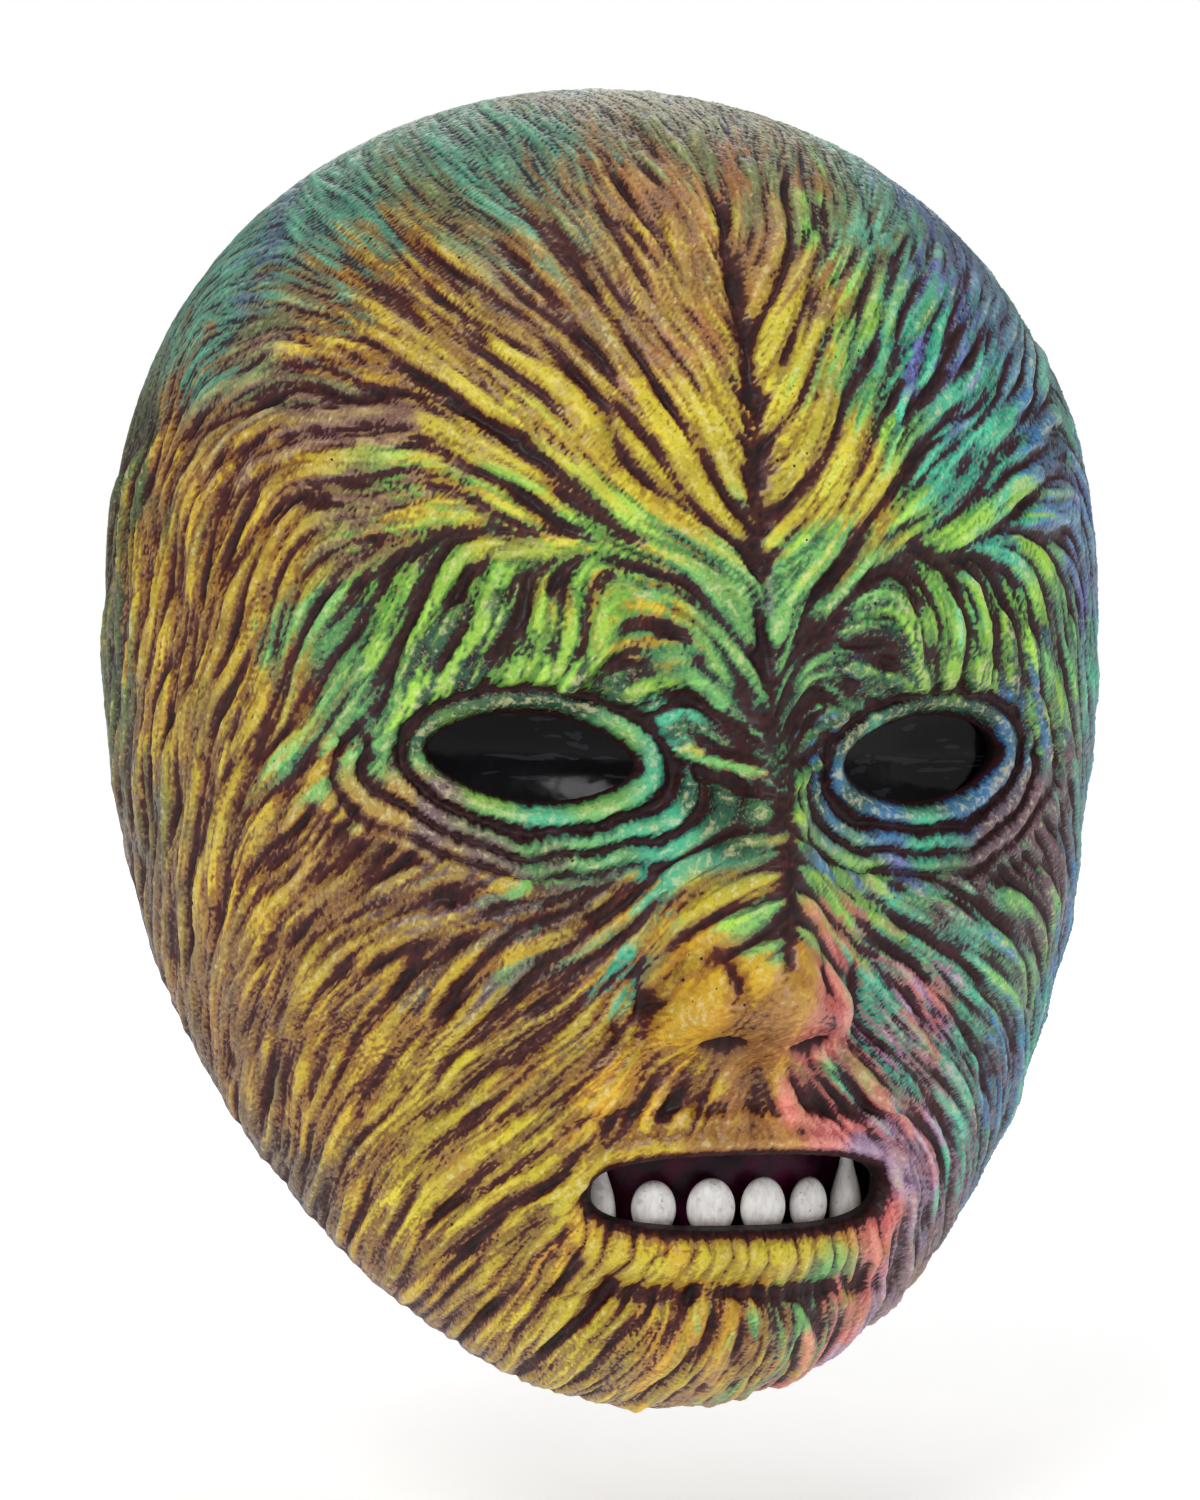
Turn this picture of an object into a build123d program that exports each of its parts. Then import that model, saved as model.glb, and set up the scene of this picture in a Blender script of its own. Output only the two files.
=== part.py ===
"""Sculpted latex face mask with smoked eye lenses, a lined mouth with seated teeth, foam pads and an
adjustable elastic head strap.

The face looks along -Y, +Z is up and +X is the wearer's left. The origin is the middle of the wearer's
head at eye height. All sizes are in millimetres.
"""

from build123d import *
import math
import os

# ---- Skin form: half widths and depths of an upright egg, cut open at the back ----
HALF_HEIGHT = 134.0  # crown and chin lie this far above and below the eye line
HALF_WIDTH = 101.0
FRONT_DEPTH = 95.0
WIDEST_Z = 25.0  # height of the widest section, at the temples
DEEPEST_Z = 20.0
SECTION_POWER = 2.15  # 2 is an ellipse, more is squarer
RIM = [(-9, 140), (3, 112), (8, 62), (7, 15), (-6, -35), (-34, -88), (-58, -140)]  # (y, z) of the trimmed edge
SKIN = 3.0  # wall of the latex casting
GLUE_GAP = 0.3  # glue line between the skin and what is stuck to it

# ---- Features, on the five-eyes and thirds rules for a head of this height ----
EYE_X = 40.0
EYE_Z = 2.0
EYE_WIDTH = 38.0
EYE_HEIGHT = 17.0
NOSE_BASE_Z = -51.0
NOSE_RISE = 24.0
MOUTH_Z = -80.0
MOUTH_WIDTH = 60.0
MOUTH_HEIGHT = 16.0

# ---- Eye lenses and their retaining gaskets ----
LENS_MARGIN = 6.0  # lens stands this far past the opening, all round
LENS_WALL = 1.2
GASKET_MARGIN = 5.0  # gasket stands this far past the lens
GASKET_LIP = 3.0  # gasket covers this much of the lens
GASKET_DEPTH = 7.0  # gasket's inner face, below the skin form

# ---- Mouth liner, gum and teeth ----
LINER_MARGIN = 7.0
LINER_DEPTH = 14.0
LINER_WALL = 1.6
GUM_TOP_Z = -87.5
GUM_BOTTOM_Z = -93.1
GUM_FRONT = 4.2  # below the skin form
GUM_BACK = 10.6
TOOTH_PEG_R = 1.6
TOOTH_PEG = 3.5
TOOTH_FIT = 0.1
TEETH = {  # name: (x, crown width, crown height)
    "fang_right": (-25.5, 7.6, 13.5),
    "incisor_outer_right": (-15.8, 8.6, 9.0),
    "incisor_inner_right": (-5.3, 9.4, 9.6),
    "incisor_inner_left": (5.3, 9.4, 9.6),
    "incisor_outer_left": (15.8, 8.6, 9.0),
    "fang_left": (25.5, 7.6, 13.5),
}

# ---- Foam pads ----
FOREHEAD_PAD = 8.0  # thickness
FOREHEAD_PAD_Z = 81.0
FOREHEAD_PAD_SIZE = (104.0, 30.0, 12.0)  # width, height and corner radius
CHEEK_PAD = 7.0
CHEEK_PAD_X = 57.0
CHEEK_PAD_Z = -42.0
CHEEK_PAD_SIZE = (26.0, 36.0, 10.0)

# ---- Strap anchors: rivets on a common axis along X ----
PIVOT_Y = -9.0
PIVOT_Z = 22.0
PATCH_X = 94.6  # flat inner face of the anchor patch
PATCH_LENGTH = 27.0
PATCH_HEIGHT = 30.0
POST_R = 2.0
POST_HEAD_R = 5.0
POST_HEAD = 0.9
POST_HEAD_X = PATCH_X + 1.6
CAP_R = 4.6
CAP = 1.4
WASHER_R = 6.0
WASHER = 0.6
PIVOT_FIT = 0.08

# ---- Elastic strap, drawn in its own plane and then let droop about the rivets ----
STRAP_WIDTH = 20.0
STRAP = 1.2
STRAP_X = 93.9  # middle of the strap where it lies on the patch
STRAP_DROOP = 14.0  # degrees below level at rest
SIDE_RUN = 34.0  # straight back from the rivet
BACK_X = 58.0  # where the back run starts and ends, before its corners are rounded
BACK_Y = 88.0  # the back run's distance behind the rivets
SIDE_BEND_R = 42.0
BACK_BEND_R = 30.0
END_TAIL = 8.0  # strap past the rivet
LAYER_GAP = 5.05  # between the middles of the strap and its doubled-back return
RING_X = 22.0  # centre of the ring's inboard bar
RING_BAR_R = 1.75
RING_SPAN = 10.0  # between the ring's two bars
SLIDER_X = -26.0  # centre bar of the slider, at the strap's tightest setting
SLIDER_BAR_R = 1.1
SLIDER_HALF = 9.0  # from the centre bar to an end bar
RAIL = 2.4  # thickness of the slider's side rails
SIDE_PLAY = 0.4  # strap edge to rail
BAR_PLAY = 0.15  # strap face to a bar
FOLD_TAIL = 11.0  # sewn length of a fold, past its bar
FOLD_LEAN = 18.0  # degrees that the ring fold's tail leans back to meet the strap
SLIDER_LEAN = 14.0  # the same at the slider
STITCH = 0.4  # how proud the thread lies
STITCH_LENGTH = 15.0
STITCH_WIDTH = 1.6
STITCH_ROWS = (5.5, 9.0)  # from the bar that the fold goes round

# ---- Places worked out from the sizes above ----
WASHER_X = STRAP_X - STRAP / 2 - BAR_PLAY - WASHER
CAP_X = WASHER_X - 0.05 - CAP
RING_OUT_X = RING_X + RING_SPAN
RING_Y = BACK_Y - LAYER_GAP / 2
RETURN_Y = BACK_Y - LAYER_GAP
SLIDER_WRAP_R = SLIDER_BAR_R + BAR_PLAY + STRAP / 2
SLIDER_Y = RETURN_Y + SLIDER_WRAP_R
RETURN_END_X = SLIDER_X + FOLD_TAIL
EYE_Z_RANGE = (-26.0, 30.0)
MOUTH_X_RANGE = (-44.0, 44.0)
MOUTH_Z_RANGE = (-102.0, -58.0)

THROUGH = 150.0  # a cut this long goes right through the face
SIDE_ANGLE = math.radians(100)  # the form is drawn this far round each side
TOP_ANGLE = 1.53  # and this far up and down, in radians, just short of the crown and the chin

OUT = "parts"


def upper_lower(z, middle, power_up, power_down, root_up, root_down):
    """1 at the middle height, falling to 0 at the crown and the chin, with its own powers each way."""
    if z >= middle:
        share = (z - middle) / (HALF_HEIGHT - middle)
        return max(0.0, 1 - share**power_up) ** (1 / root_up)
    share = (middle - z) / (HALF_HEIGHT + middle)
    return max(0.0, 1 - share**power_down) ** (1 / root_down)


def mound(x, z, at_x, at_z, rise, wide, tall):
    """A pair of smooth mounds, mirrored across the midline."""
    return rise * math.exp(-(((abs(x) - at_x) / wide) ** 2) - ((z - at_z) / tall) ** 2)


def step_up(value, width):
    """0 well below zero, 1 well above it."""
    return 1 / (1 + math.exp(-value / width))


def form_relief(x, z):
    """How far the face stands forward of the plain egg."""
    eye = mound(x, z, EYE_X, EYE_Z, -9.0, 23.0, 14.0)
    brow = mound(x, z, 36.0, 25.0, 6.0, 26.0, 10.0)
    cheek = mound(x, z, 57.0, -32.0, 5.0, 24.0, 20.0)
    muzzle = mound(x, z, 0.0, -78.0, 8.0, 36.0, 26.0)
    chin = mound(x, z, 0.0, -110.0, 7.0, 24.0, 13.0)
    ridge = NOSE_RISE * step_up(4.0 - z, 13.0) * step_up(z - NOSE_BASE_Z, 2.6)
    nose = ridge * math.exp(-((x / (8.0 + 0.07 * max(0.0, 10.0 - z))) ** 2))
    wings = mound(x, z, 12.0, -44.0, 8.0, 6.5, 7.0)
    return eye + brow + cheek + muzzle + chin + nose + wings


def form_point(azimuth, rise):
    """Skin form at an azimuth from the midline and a rise from the eye line, both in radians."""
    z = HALF_HEIGHT * math.sin(rise)
    half = HALF_WIDTH * upper_lower(z, WIDEST_Z, 2.4, 2.3, 2.0, 2.0)
    deep = FRONT_DEPTH * upper_lower(z, DEEPEST_Z, 2.6, 8.0, 2.0, 2.2)
    across, along = math.sin(azimuth), math.cos(azimuth)
    power = 2 / SECTION_POWER
    x = math.copysign(half * abs(across) ** power, across)
    y = -math.copysign(deep * abs(along) ** power, along)
    facing = max(0.0, along) ** 0.5
    return Vector(x, y - form_relief(x, z) * facing, z)


def form_normal(azimuth, rise):
    """Unit normal of the skin form, outwards."""
    nudge = 1e-3
    side = form_point(azimuth + nudge, rise) - form_point(azimuth - nudge, rise)
    up = form_point(azimuth, rise + nudge) - form_point(azimuth, rise - nudge)
    return side.cross(up).normalized()


def form_face(depth, azimuths, rises):
    """The skin form moved inwards by depth, as one smooth face."""
    rows = []
    for rise in rises:
        rows.append([form_point(a, rise) - form_normal(a, rise) * depth for a in azimuths])
    return Face.make_surface_from_array_of_points(rows, tol=0.08, min_deg=3, max_deg=5)


def spread(low, high, count):
    return [low + (high - low) * i / (count - 1) for i in range(count)]


def edge_between(face, start, end):
    """The face's border edge whose ends lie nearest to two points."""

    def miss(edge):
        first, last = edge @ 0, edge @ 1
        return min(
            (first - start).length + (last - end).length,
            (first - end).length + (last - start).length,
        )

    return min(face.edges(), key=miss)


def layer(depth_out, depth_in, azimuths, rises):
    """A solid between two depths of the skin form, over a patch of it."""
    outer = form_face(depth_out, azimuths, rises)
    inner = form_face(depth_in, azimuths, rises)
    corners = [(azimuths[i], rises[j]) for i, j in ((0, 0), (-1, 0), (-1, -1), (0, -1))]
    sides = []
    for k in range(4):
        borders = []
        for face, depth in ((outer, depth_out), (inner, depth_in)):
            ends = [
                form_point(*corners[m]) - form_normal(*corners[m]) * depth for m in (k, (k + 1) % 4)
            ]
            borders.append(edge_between(face, *ends))
        sides.append(Face.make_surface_from_curves(*borders))
    solid = Solid(Shell([outer, inner, *sides]))
    return solid if solid.volume > 0 else -solid


def patch(depth_out, depth_in, x_range, z_range, count=15):
    """A layer over the part of the form that covers an x and a z range, with some to spare."""
    rises = [math.asin(z / HALF_HEIGHT) for z in z_range]
    azimuths = [math.copysign(azimuth_at(abs(x), z_range), x) for x in x_range]
    return layer(depth_out, depth_in, spread(*azimuths, count), spread(*rises, count))


def azimuth_at(x, z_range):
    """The azimuth that reaches at least x, where the form is narrowest in a z range."""
    widths = [form_point(math.pi / 2, math.asin(z / HALF_HEIGHT)).X for z in z_range]
    share = min(1.0, x / min(widths))
    return math.asin(share ** (SECTION_POWER / 2))


def oval_bar(x, z, width, height):
    """An oval prism along Y, through the whole face."""
    return extrude(Plane.XZ * Pos(x, z) * Ellipse(width / 2, height / 2), THROUGH)


def slot_bar(width, height):
    """A round-ended prism along Y at the mouth."""
    return extrude(Plane.XZ * Pos(0, MOUTH_Z) * RectangleRounded(width, height, height / 2 - 0.1), THROUGH)


def pad_bar(x, z, width, height, radius):
    """A prism along Y with rounded corners."""
    return extrude(Plane.XZ * Pos(x, z) * RectangleRounded(width, height, radius), THROUGH)


def rim_prism():
    """Everything in front of the line where the casting is trimmed, seen from the side."""
    trim = Spline(*RIM)
    front = Polyline(RIM[-1], (-THROUGH, RIM[-1][1]), (-THROUGH, RIM[0][1]), RIM[0])
    return extrude(Plane.YZ * make_face(trim + front), THROUGH, both=True)


def face_shell():
    """The latex casting: the form, trimmed at the back, with eye and mouth openings."""
    azimuths, rises = spread(-SIDE_ANGLE, SIDE_ANGLE, 67), spread(-TOP_ANGLE, TOP_ANGLE, 75)
    shell = layer(0.0, SKIN, azimuths, rises) & rim_prism()
    for side in (-1, 1):
        shell -= oval_bar(side * EYE_X, EYE_Z, EYE_WIDTH, EYE_HEIGHT)
    return shell - slot_bar(MOUTH_WIDTH, MOUTH_HEIGHT)


def eye_lens(side):
    """A smoked plastic lens behind one eye opening, following the inside of the skin."""
    width, height = EYE_WIDTH + 2 * LENS_MARGIN, EYE_HEIGHT + 2 * LENS_MARGIN
    front = SKIN + GLUE_GAP
    sheet = patch(front, front + LENS_WALL, eye_range(side), EYE_Z_RANGE)
    return sheet & oval_bar(side * EYE_X, EYE_Z, width, height)


def eye_gasket(side):
    """A rubber ring round one lens, with a lip that holds the lens against the skin."""
    lens_width, lens_height = EYE_WIDTH + 2 * LENS_MARGIN, EYE_HEIGHT + 2 * LENS_MARGIN
    front, behind = SKIN + GLUE_GAP, SKIN + GLUE_GAP + LENS_WALL + 0.1
    block = patch(front, GASKET_DEPTH, eye_range(side), EYE_Z_RANGE)
    ring = block & oval_bar(
        side * EYE_X, EYE_Z, lens_width + 2 * GASKET_MARGIN, lens_height + 2 * GASKET_MARGIN
    )
    ring -= oval_bar(side * EYE_X, EYE_Z, lens_width - 2 * GASKET_LIP, lens_height - 2 * GASKET_LIP)
    seat = patch(front - 0.2, behind, eye_range(side), EYE_Z_RANGE)
    return ring - (seat & oval_bar(side * EYE_X, EYE_Z, lens_width + 0.4, lens_height + 0.4))


def eye_range(side):
    near, far = 7.0, 76.0
    return (near, far) if side > 0 else (-far, -near)


def mouth_liner():
    """A moulded cup behind the mouth, closed at the back."""
    width, height = MOUTH_WIDTH + 2 * LINER_MARGIN, MOUTH_HEIGHT + 2 * LINER_MARGIN
    cup = patch(SKIN + GLUE_GAP, LINER_DEPTH, MOUTH_X_RANGE, MOUTH_Z_RANGE) & slot_bar(width, height)
    hollow = patch(SKIN, LINER_DEPTH - LINER_WALL, MOUTH_X_RANGE, MOUTH_Z_RANGE)
    return cup - (hollow & slot_bar(width - 2 * LINER_WALL, height - 2 * LINER_WALL))


def tooth_place(x):
    """Where a tooth stands on the gum, turned to face outwards."""
    depth = (GUM_FRONT + GUM_BACK) / 2
    rise = math.asin(GUM_TOP_Z / HALF_HEIGHT)
    low, high = -math.pi / 2, math.pi / 2
    for _ in range(40):
        azimuth = (low + high) / 2
        normal = form_normal(azimuth, rise)
        point = form_point(azimuth, rise) - normal * depth
        if point.X < x:
            low = azimuth
        else:
            high = azimuth
    turn = math.degrees(math.atan2(normal.X, -normal.Y))
    return Pos(point.X, point.Y, GUM_TOP_Z) * Rot(0, 0, turn)


def gum():
    """The arch that the teeth are seated in."""
    middle = (GUM_TOP_Z + GUM_BOTTOM_Z) / 2
    arch = patch(GUM_FRONT, GUM_BACK, MOUTH_X_RANGE, MOUTH_Z_RANGE)
    arch &= Pos(0, -80.0, middle) * Box(64.0, 100.0, GUM_TOP_Z - GUM_BOTTOM_Z)
    inset = 2 * (LINER_WALL + GLUE_GAP)
    arch &= slot_bar(
        MOUTH_WIDTH + 2 * LINER_MARGIN - inset, MOUTH_HEIGHT + 2 * LINER_MARGIN - inset
    )
    for x, _, _ in TEETH.values():
        socket = Cylinder(TOOTH_PEG_R + TOOTH_FIT, 2 * (TOOTH_PEG + 0.2))
        arch -= tooth_place(x) * socket
    return arch


def tooth(name):
    """One tooth: a rounded crown, or a pointed one on a fang, over a round peg."""
    x, width, height = TEETH[name]
    half = width / 2
    if name.startswith("fang"):
        outline = [(half, 0), (0.84 * half, 0.45 * height), (0.4 * half, 0.85 * height), (0, height)]
        side = Spline(*outline, tangents=((0, 1), (-1, 0)))
        base = Polyline((0, height), (0, 0), (half, 0))
        crown = revolve(Plane.XZ * make_face(side + base), Axis.Z)
        crown = scale(crown, by=(1.0, 0.74, 1.0))
    else:
        ball = scale(Sphere(1.0), by=(half, 2.7, 0.6 * height))
        crown = Pos(0, 0, 0.4 * height) * ball
        crown &= Pos(0, 0, height / 2) * Box(2 * width, 2 * width, height)
    peg = Pos(0, 0, 0.5 - TOOTH_PEG / 2) * Cylinder(TOOTH_PEG_R, TOOTH_PEG + 1.0)
    return tooth_place(x) * Pos(0, 0, 0.05) * (crown + peg)


def forehead_pad():
    """A foam bar across the inside of the forehead."""
    front = SKIN + GLUE_GAP
    block = patch(front, front + FOREHEAD_PAD, (-66.0, 66.0), (56.0, 104.0))
    return block & pad_bar(0.0, FOREHEAD_PAD_Z, *FOREHEAD_PAD_SIZE)


def cheek_pad(side):
    """A foam pad inside one cheek."""
    front = SKIN + GLUE_GAP
    x_range = (30.0, 76.0) if side > 0 else (-76.0, -30.0)
    block = patch(front, front + CHEEK_PAD, x_range, (-68.0, -12.0))
    return block & pad_bar(side * CHEEK_PAD_X, CHEEK_PAD_Z, *CHEEK_PAD_SIZE)


def along_x(x, radius, length):
    """A cylinder on the rivet axis, from x outwards."""
    return Pos(x + length / 2, PIVOT_Y, PIVOT_Z) * Rot(0, 90, 0) * Cylinder(radius, length)


def anchor_patch():
    """The left anchor patch: glued inside the temple, with a flat inner face for the strap."""
    azimuths = spread(math.radians(60), math.radians(99), 13)
    rises = [math.asin(z / HALF_HEIGHT) for z in spread(-2.0, 46.0, 13)]
    block = layer(SKIN + GLUE_GAP, 14.0, azimuths, rises)
    outline = Plane.YZ * Pos(PIVOT_Y, PIVOT_Z) * RectangleRounded(PATCH_LENGTH, PATCH_HEIGHT, 7.0)
    block &= Pos(PATCH_X, 0, 0) * extrude(outline, 12.0)
    block -= along_x(POST_HEAD_X - 0.1, POST_HEAD_R + 0.1, 6.0)
    return block - along_x(PATCH_X - 1, POST_R + 0.02, 6.0)


def rivet_post():
    """The left rivet: a flat head under the patch and a shank through patch, strap and washer."""
    shank_end = CAP_X + 0.5
    return along_x(POST_HEAD_X, POST_HEAD_R, POST_HEAD) + along_x(
        shank_end, POST_R, POST_HEAD_X - shank_end
    )


def rivet_washer():
    return along_x(WASHER_X, WASHER_R, WASHER) - along_x(WASHER_X - 1, POST_R + PIVOT_FIT, 4.0)


def rivet_cap():
    """The domed cap that closes the left rivet."""
    cap = along_x(CAP_X, CAP_R, CAP)
    cap = fillet(cap.edges().filter_by(GeomType.CIRCLE).sort_by(Axis.X)[0], 0.9)
    return cap - along_x(CAP_X + 0.5, POST_R + 0.01, 4.0)


def other_side(shape):
    """The same piece for the other temple."""
    return shape.mirror(Plane.YZ)


def hang(shape):
    """Takes a shape drawn in the strap's plane to where the strap droops at rest."""
    return Pos(0, PIVOT_Y, PIVOT_Z) * Rot(-STRAP_DROOP, 0, 0) * shape


def ribbon(path, width=STRAP_WIDTH):
    """A flat band that follows a path in the strap's plane."""
    start = Plane(origin=path @ 0, x_dir=(0, 0, 1), z_dir=path % 0)
    return sweep(start * Rectangle(width, STRAP), path=path)


def side_path(side, end_x):
    """The strap's line from one rivet, back past the trimmed edge and along the back run."""
    points = [
        (side * STRAP_X, -END_TAIL),
        (side * STRAP_X, SIDE_RUN),
        (side * BACK_X, BACK_Y),
        (end_x, BACK_Y),
    ]
    return FilletPolyline(*points, radius=[SIDE_BEND_R, BACK_BEND_R])


def heading(degrees):
    """A unit step in the strap's plane."""
    return Vector(math.cos(math.radians(degrees)), math.sin(math.radians(degrees)))


def pivot_hole(side):
    return Pos(side * STRAP_X, 0, 0) * Rot(0, 90, 0) * Cylinder(POST_R + PIVOT_FIT, 4 * STRAP)


def strap_short():
    """The band from the left rivet to the ring, folded round the ring's outboard bar."""
    turn = CenterArc((RING_OUT_X, RING_Y), LAYER_GAP / 2, 90, 180 + FOLD_LEAN)
    tail = Line(turn @ 1, turn @ 1 + heading(FOLD_LEAN) * FOLD_TAIL)
    return hang(ribbon(side_path(1, RING_OUT_X) + turn + tail) - pivot_hole(1))


def strap_long():
    """The band from the right rivet round the back, folded round the ring's inboard bar."""
    turn = CenterArc((RING_X, RING_Y), LAYER_GAP / 2, 90, -180)
    return hang(ribbon(side_path(-1, RING_X) + turn) - pivot_hole(-1))


def strap_return():
    """The doubled-back band between the ring and the slider's sewn end."""
    middle = (RING_X + RETURN_END_X) / 2
    return hang(Pos(middle, RETURN_Y, 0) * Box(RING_X - RETURN_END_X, STRAP, STRAP_WIDTH))


def strap_end_fold():
    """The strap's end, folded round the slider's centre bar and sewn back on itself."""
    lead = Line((RETURN_END_X, RETURN_Y), (SLIDER_X, RETURN_Y))
    turn = CenterArc((SLIDER_X, SLIDER_Y), SLIDER_WRAP_R, -90, -180 - SLIDER_LEAN)
    tail = Line(turn @ 1, turn @ 1 + heading(-SLIDER_LEAN) * (FOLD_TAIL - 2.0))
    return hang(ribbon(lead + turn + tail))


def rod(x, y, radius, length):
    """A round bar across the strap."""
    return Pos(x, y, 0) * Cylinder(radius, length)


def ring():
    """A rectangular wire ring that joins the two bands."""
    rail_z = STRAP_WIDTH / 2 + SIDE_PLAY + RING_BAR_R
    body = rod(RING_X, RING_Y, RING_BAR_R, 2 * rail_z) + rod(RING_OUT_X, RING_Y, RING_BAR_R, 2 * rail_z)
    for end in (-1, 1):
        middle = (RING_X + RING_OUT_X) / 2
        body += Pos(middle, RING_Y, end * rail_z) * Rot(0, 90, 0) * Cylinder(RING_BAR_R, RING_SPAN)
        for x in (RING_X, RING_OUT_X):
            body += Pos(x, RING_Y, end * rail_z) * Sphere(RING_BAR_R)
    return hang(body)


def slider():
    """A bowed three-bar slider: end bars behind the strap, centre bar in front of it."""
    end_y = BACK_Y + STRAP / 2 + BAR_PLAY + SLIDER_BAR_R
    rail_z = STRAP_WIDTH / 2 + SIDE_PLAY
    length = 2 * rail_z + 1.0
    body = rod(SLIDER_X, SLIDER_Y, SLIDER_BAR_R, length)
    left, right = SLIDER_X - SLIDER_HALF, SLIDER_X + SLIDER_HALF
    for x in (left, right):
        body += rod(x, end_y, SLIDER_BAR_R, length)
    bow = ThreePointArc((left, end_y), (SLIDER_X, SLIDER_Y), (right, end_y))
    outline = trace(bow, RAIL)
    for x, y in ((left, end_y), (right, end_y)):
        outline += Pos(x, y) * Circle(RAIL / 2)
    rail = extrude(outline, RAIL)
    return hang(body + Pos(0, 0, rail_z) * rail + Pos(0, 0, -rail_z - RAIL) * rail)


def bar_tacks(bar_x, face_y, outwards):
    """Rows of thread sewn across the strap, proud of one of its faces."""
    middle = face_y + outwards * STITCH / 2
    rows = [Pos(bar_x + x, middle, 0) * Box(STITCH_WIDTH, STITCH, STITCH_LENGTH) for x in STITCH_ROWS]
    return hang(Compound(rows))


def build():
    """Every piece by its node name."""
    pieces = {"face_shell": face_shell(), "mouth_liner": mouth_liner(), "gum": gum()}
    for name in TEETH:
        pieces[name] = tooth(name)
    for side, word in ((-1, "right"), (1, "left")):
        pieces["eye_lens_" + word] = eye_lens(side)
        pieces["eye_gasket_" + word] = eye_gasket(side)
        pieces["cheek_pad_" + word] = cheek_pad(side)
    pieces["forehead_pad"] = forehead_pad()
    for stem, piece in (
        ("anchor_patch", anchor_patch()),
        ("rivet_post", rivet_post()),
        ("rivet_washer", rivet_washer()),
        ("rivet_cap", rivet_cap()),
    ):
        pieces[stem + "_left"] = piece
        pieces[stem + "_right"] = other_side(piece)
    pieces["strap_short"] = strap_short()
    pieces["strap_long"] = strap_long()
    pieces["strap_return"] = strap_return()
    pieces["strap_ring"] = ring()
    pieces["ring_stitches"] = bar_tacks(RING_OUT_X, BACK_Y + STRAP / 2, 1)
    pieces["slider"] = slider()
    pieces["strap_end_fold"] = strap_end_fold()
    pieces["slider_stitches"] = bar_tacks(SLIDER_X, RETURN_Y - STRAP / 2, -1)
    return pieces


os.makedirs(OUT, exist_ok=True)
for node, shape in build().items():
    export_step(shape, os.path.join(OUT, node + ".step"))
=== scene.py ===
"""Painted latex beast mask: sculpted fur in one casting, smoked lenses, dry-brushed teeth, foam pads and a
riveted elastic strap. The skin is worked out in millimetres from the same egg form as the CAD casting."""

import math

import bmesh
import bpy
import numpy as np
from mathutils import Matrix, Vector


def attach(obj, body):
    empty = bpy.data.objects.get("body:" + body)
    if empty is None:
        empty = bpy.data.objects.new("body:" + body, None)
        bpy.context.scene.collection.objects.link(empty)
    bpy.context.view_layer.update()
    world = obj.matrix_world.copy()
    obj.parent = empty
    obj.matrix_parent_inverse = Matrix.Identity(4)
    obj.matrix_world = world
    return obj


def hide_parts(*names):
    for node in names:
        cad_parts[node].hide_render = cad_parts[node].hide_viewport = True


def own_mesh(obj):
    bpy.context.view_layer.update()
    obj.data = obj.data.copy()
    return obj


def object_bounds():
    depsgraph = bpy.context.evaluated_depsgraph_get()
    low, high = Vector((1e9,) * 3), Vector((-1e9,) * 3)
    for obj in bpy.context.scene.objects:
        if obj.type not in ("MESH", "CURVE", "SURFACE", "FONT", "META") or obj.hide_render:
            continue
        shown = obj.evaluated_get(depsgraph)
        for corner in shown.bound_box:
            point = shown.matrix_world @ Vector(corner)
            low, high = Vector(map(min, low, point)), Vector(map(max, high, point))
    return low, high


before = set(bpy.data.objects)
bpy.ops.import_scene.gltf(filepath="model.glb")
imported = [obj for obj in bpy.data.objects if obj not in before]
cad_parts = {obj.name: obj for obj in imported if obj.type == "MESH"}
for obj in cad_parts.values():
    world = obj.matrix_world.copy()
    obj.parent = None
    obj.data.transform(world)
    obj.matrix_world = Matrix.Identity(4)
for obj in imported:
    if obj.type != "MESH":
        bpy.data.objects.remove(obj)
CAD_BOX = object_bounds()
MM = 0.001

# ---- Skin form, as in the CAD casting (mm) ----
HALF_HEIGHT = 134.0
HALF_WIDTH = 101.0
FRONT_DEPTH = 95.0
WIDEST_Z = 25.0
DEEPEST_Z = 20.0
SECTION_POWER = 2.15
SKIN = 3.0
EYE_X = 40.0
EYE_Z = 2.0
NOSE_BASE_Z = -51.0
NOSE_RISE = 24.0
MOUTH_Z = -80.0
SIDE_ANGLE = math.radians(100)
RIM = ((-9, 140), (3, 112), (8, 62), (7, 15), (-6, -35), (-34, -88), (-58, -140))  # the trimmed edge, (y, z)

# ---- Sculpted openings (mm) ----
LID_HALF = 18.5
LID_UP = 8.3
LID_POWER = 1.8
LIP_HALF = 30.0
LIP_UP = 6.6
LIP_DOWN = 8.2
LIP_POWER = 2.9
NOSTRIL_X = 8.5
NOSTRIL_Y = -106.5
NOSTRIL_HALF = (3.9, 4.8)  # half its width and half its length, front to back
NOSTRIL_REACH = (-58.0, -45.0)  # heights between which the skin is drawn in
NOSTRIL_DEPTH = 6.5

# ---- Mesh and pelt resolution ----
ROWS = 620
COLUMNS = 580
LINING_STEP = 2
PELT_STEP = 0.4  # mm per cell of the unrolled sheet on which the fur is laid out
PELT_HALF_U = 178.0
PELT_HALF_V = 196.0

SEED = 11


def sigmoid(value, width):
    return 1 / (1 + np.exp(-np.clip(value / width, -40, 40)))


def smooth(value, low, high):
    share = np.clip((value - low) / (high - low), 0, 1)
    return share * share * (3 - 2 * share)


def roll(distance, peak, wide):
    """A rounded bank whose crest lies at a distance from an edge."""
    return np.exp(-(((distance - peak) / wide) ** 2))


def bell(x, z, at_x, at_z, wide, tall):
    return np.exp(-(((x - at_x) / wide) ** 2) - ((z - at_z) / tall) ** 2)


def pair(x, z, at_x, at_z, wide, tall):
    return bell(np.abs(x), z, at_x, at_z, wide, tall)


# ---------------------------------------------------------------- the egg form


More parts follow.
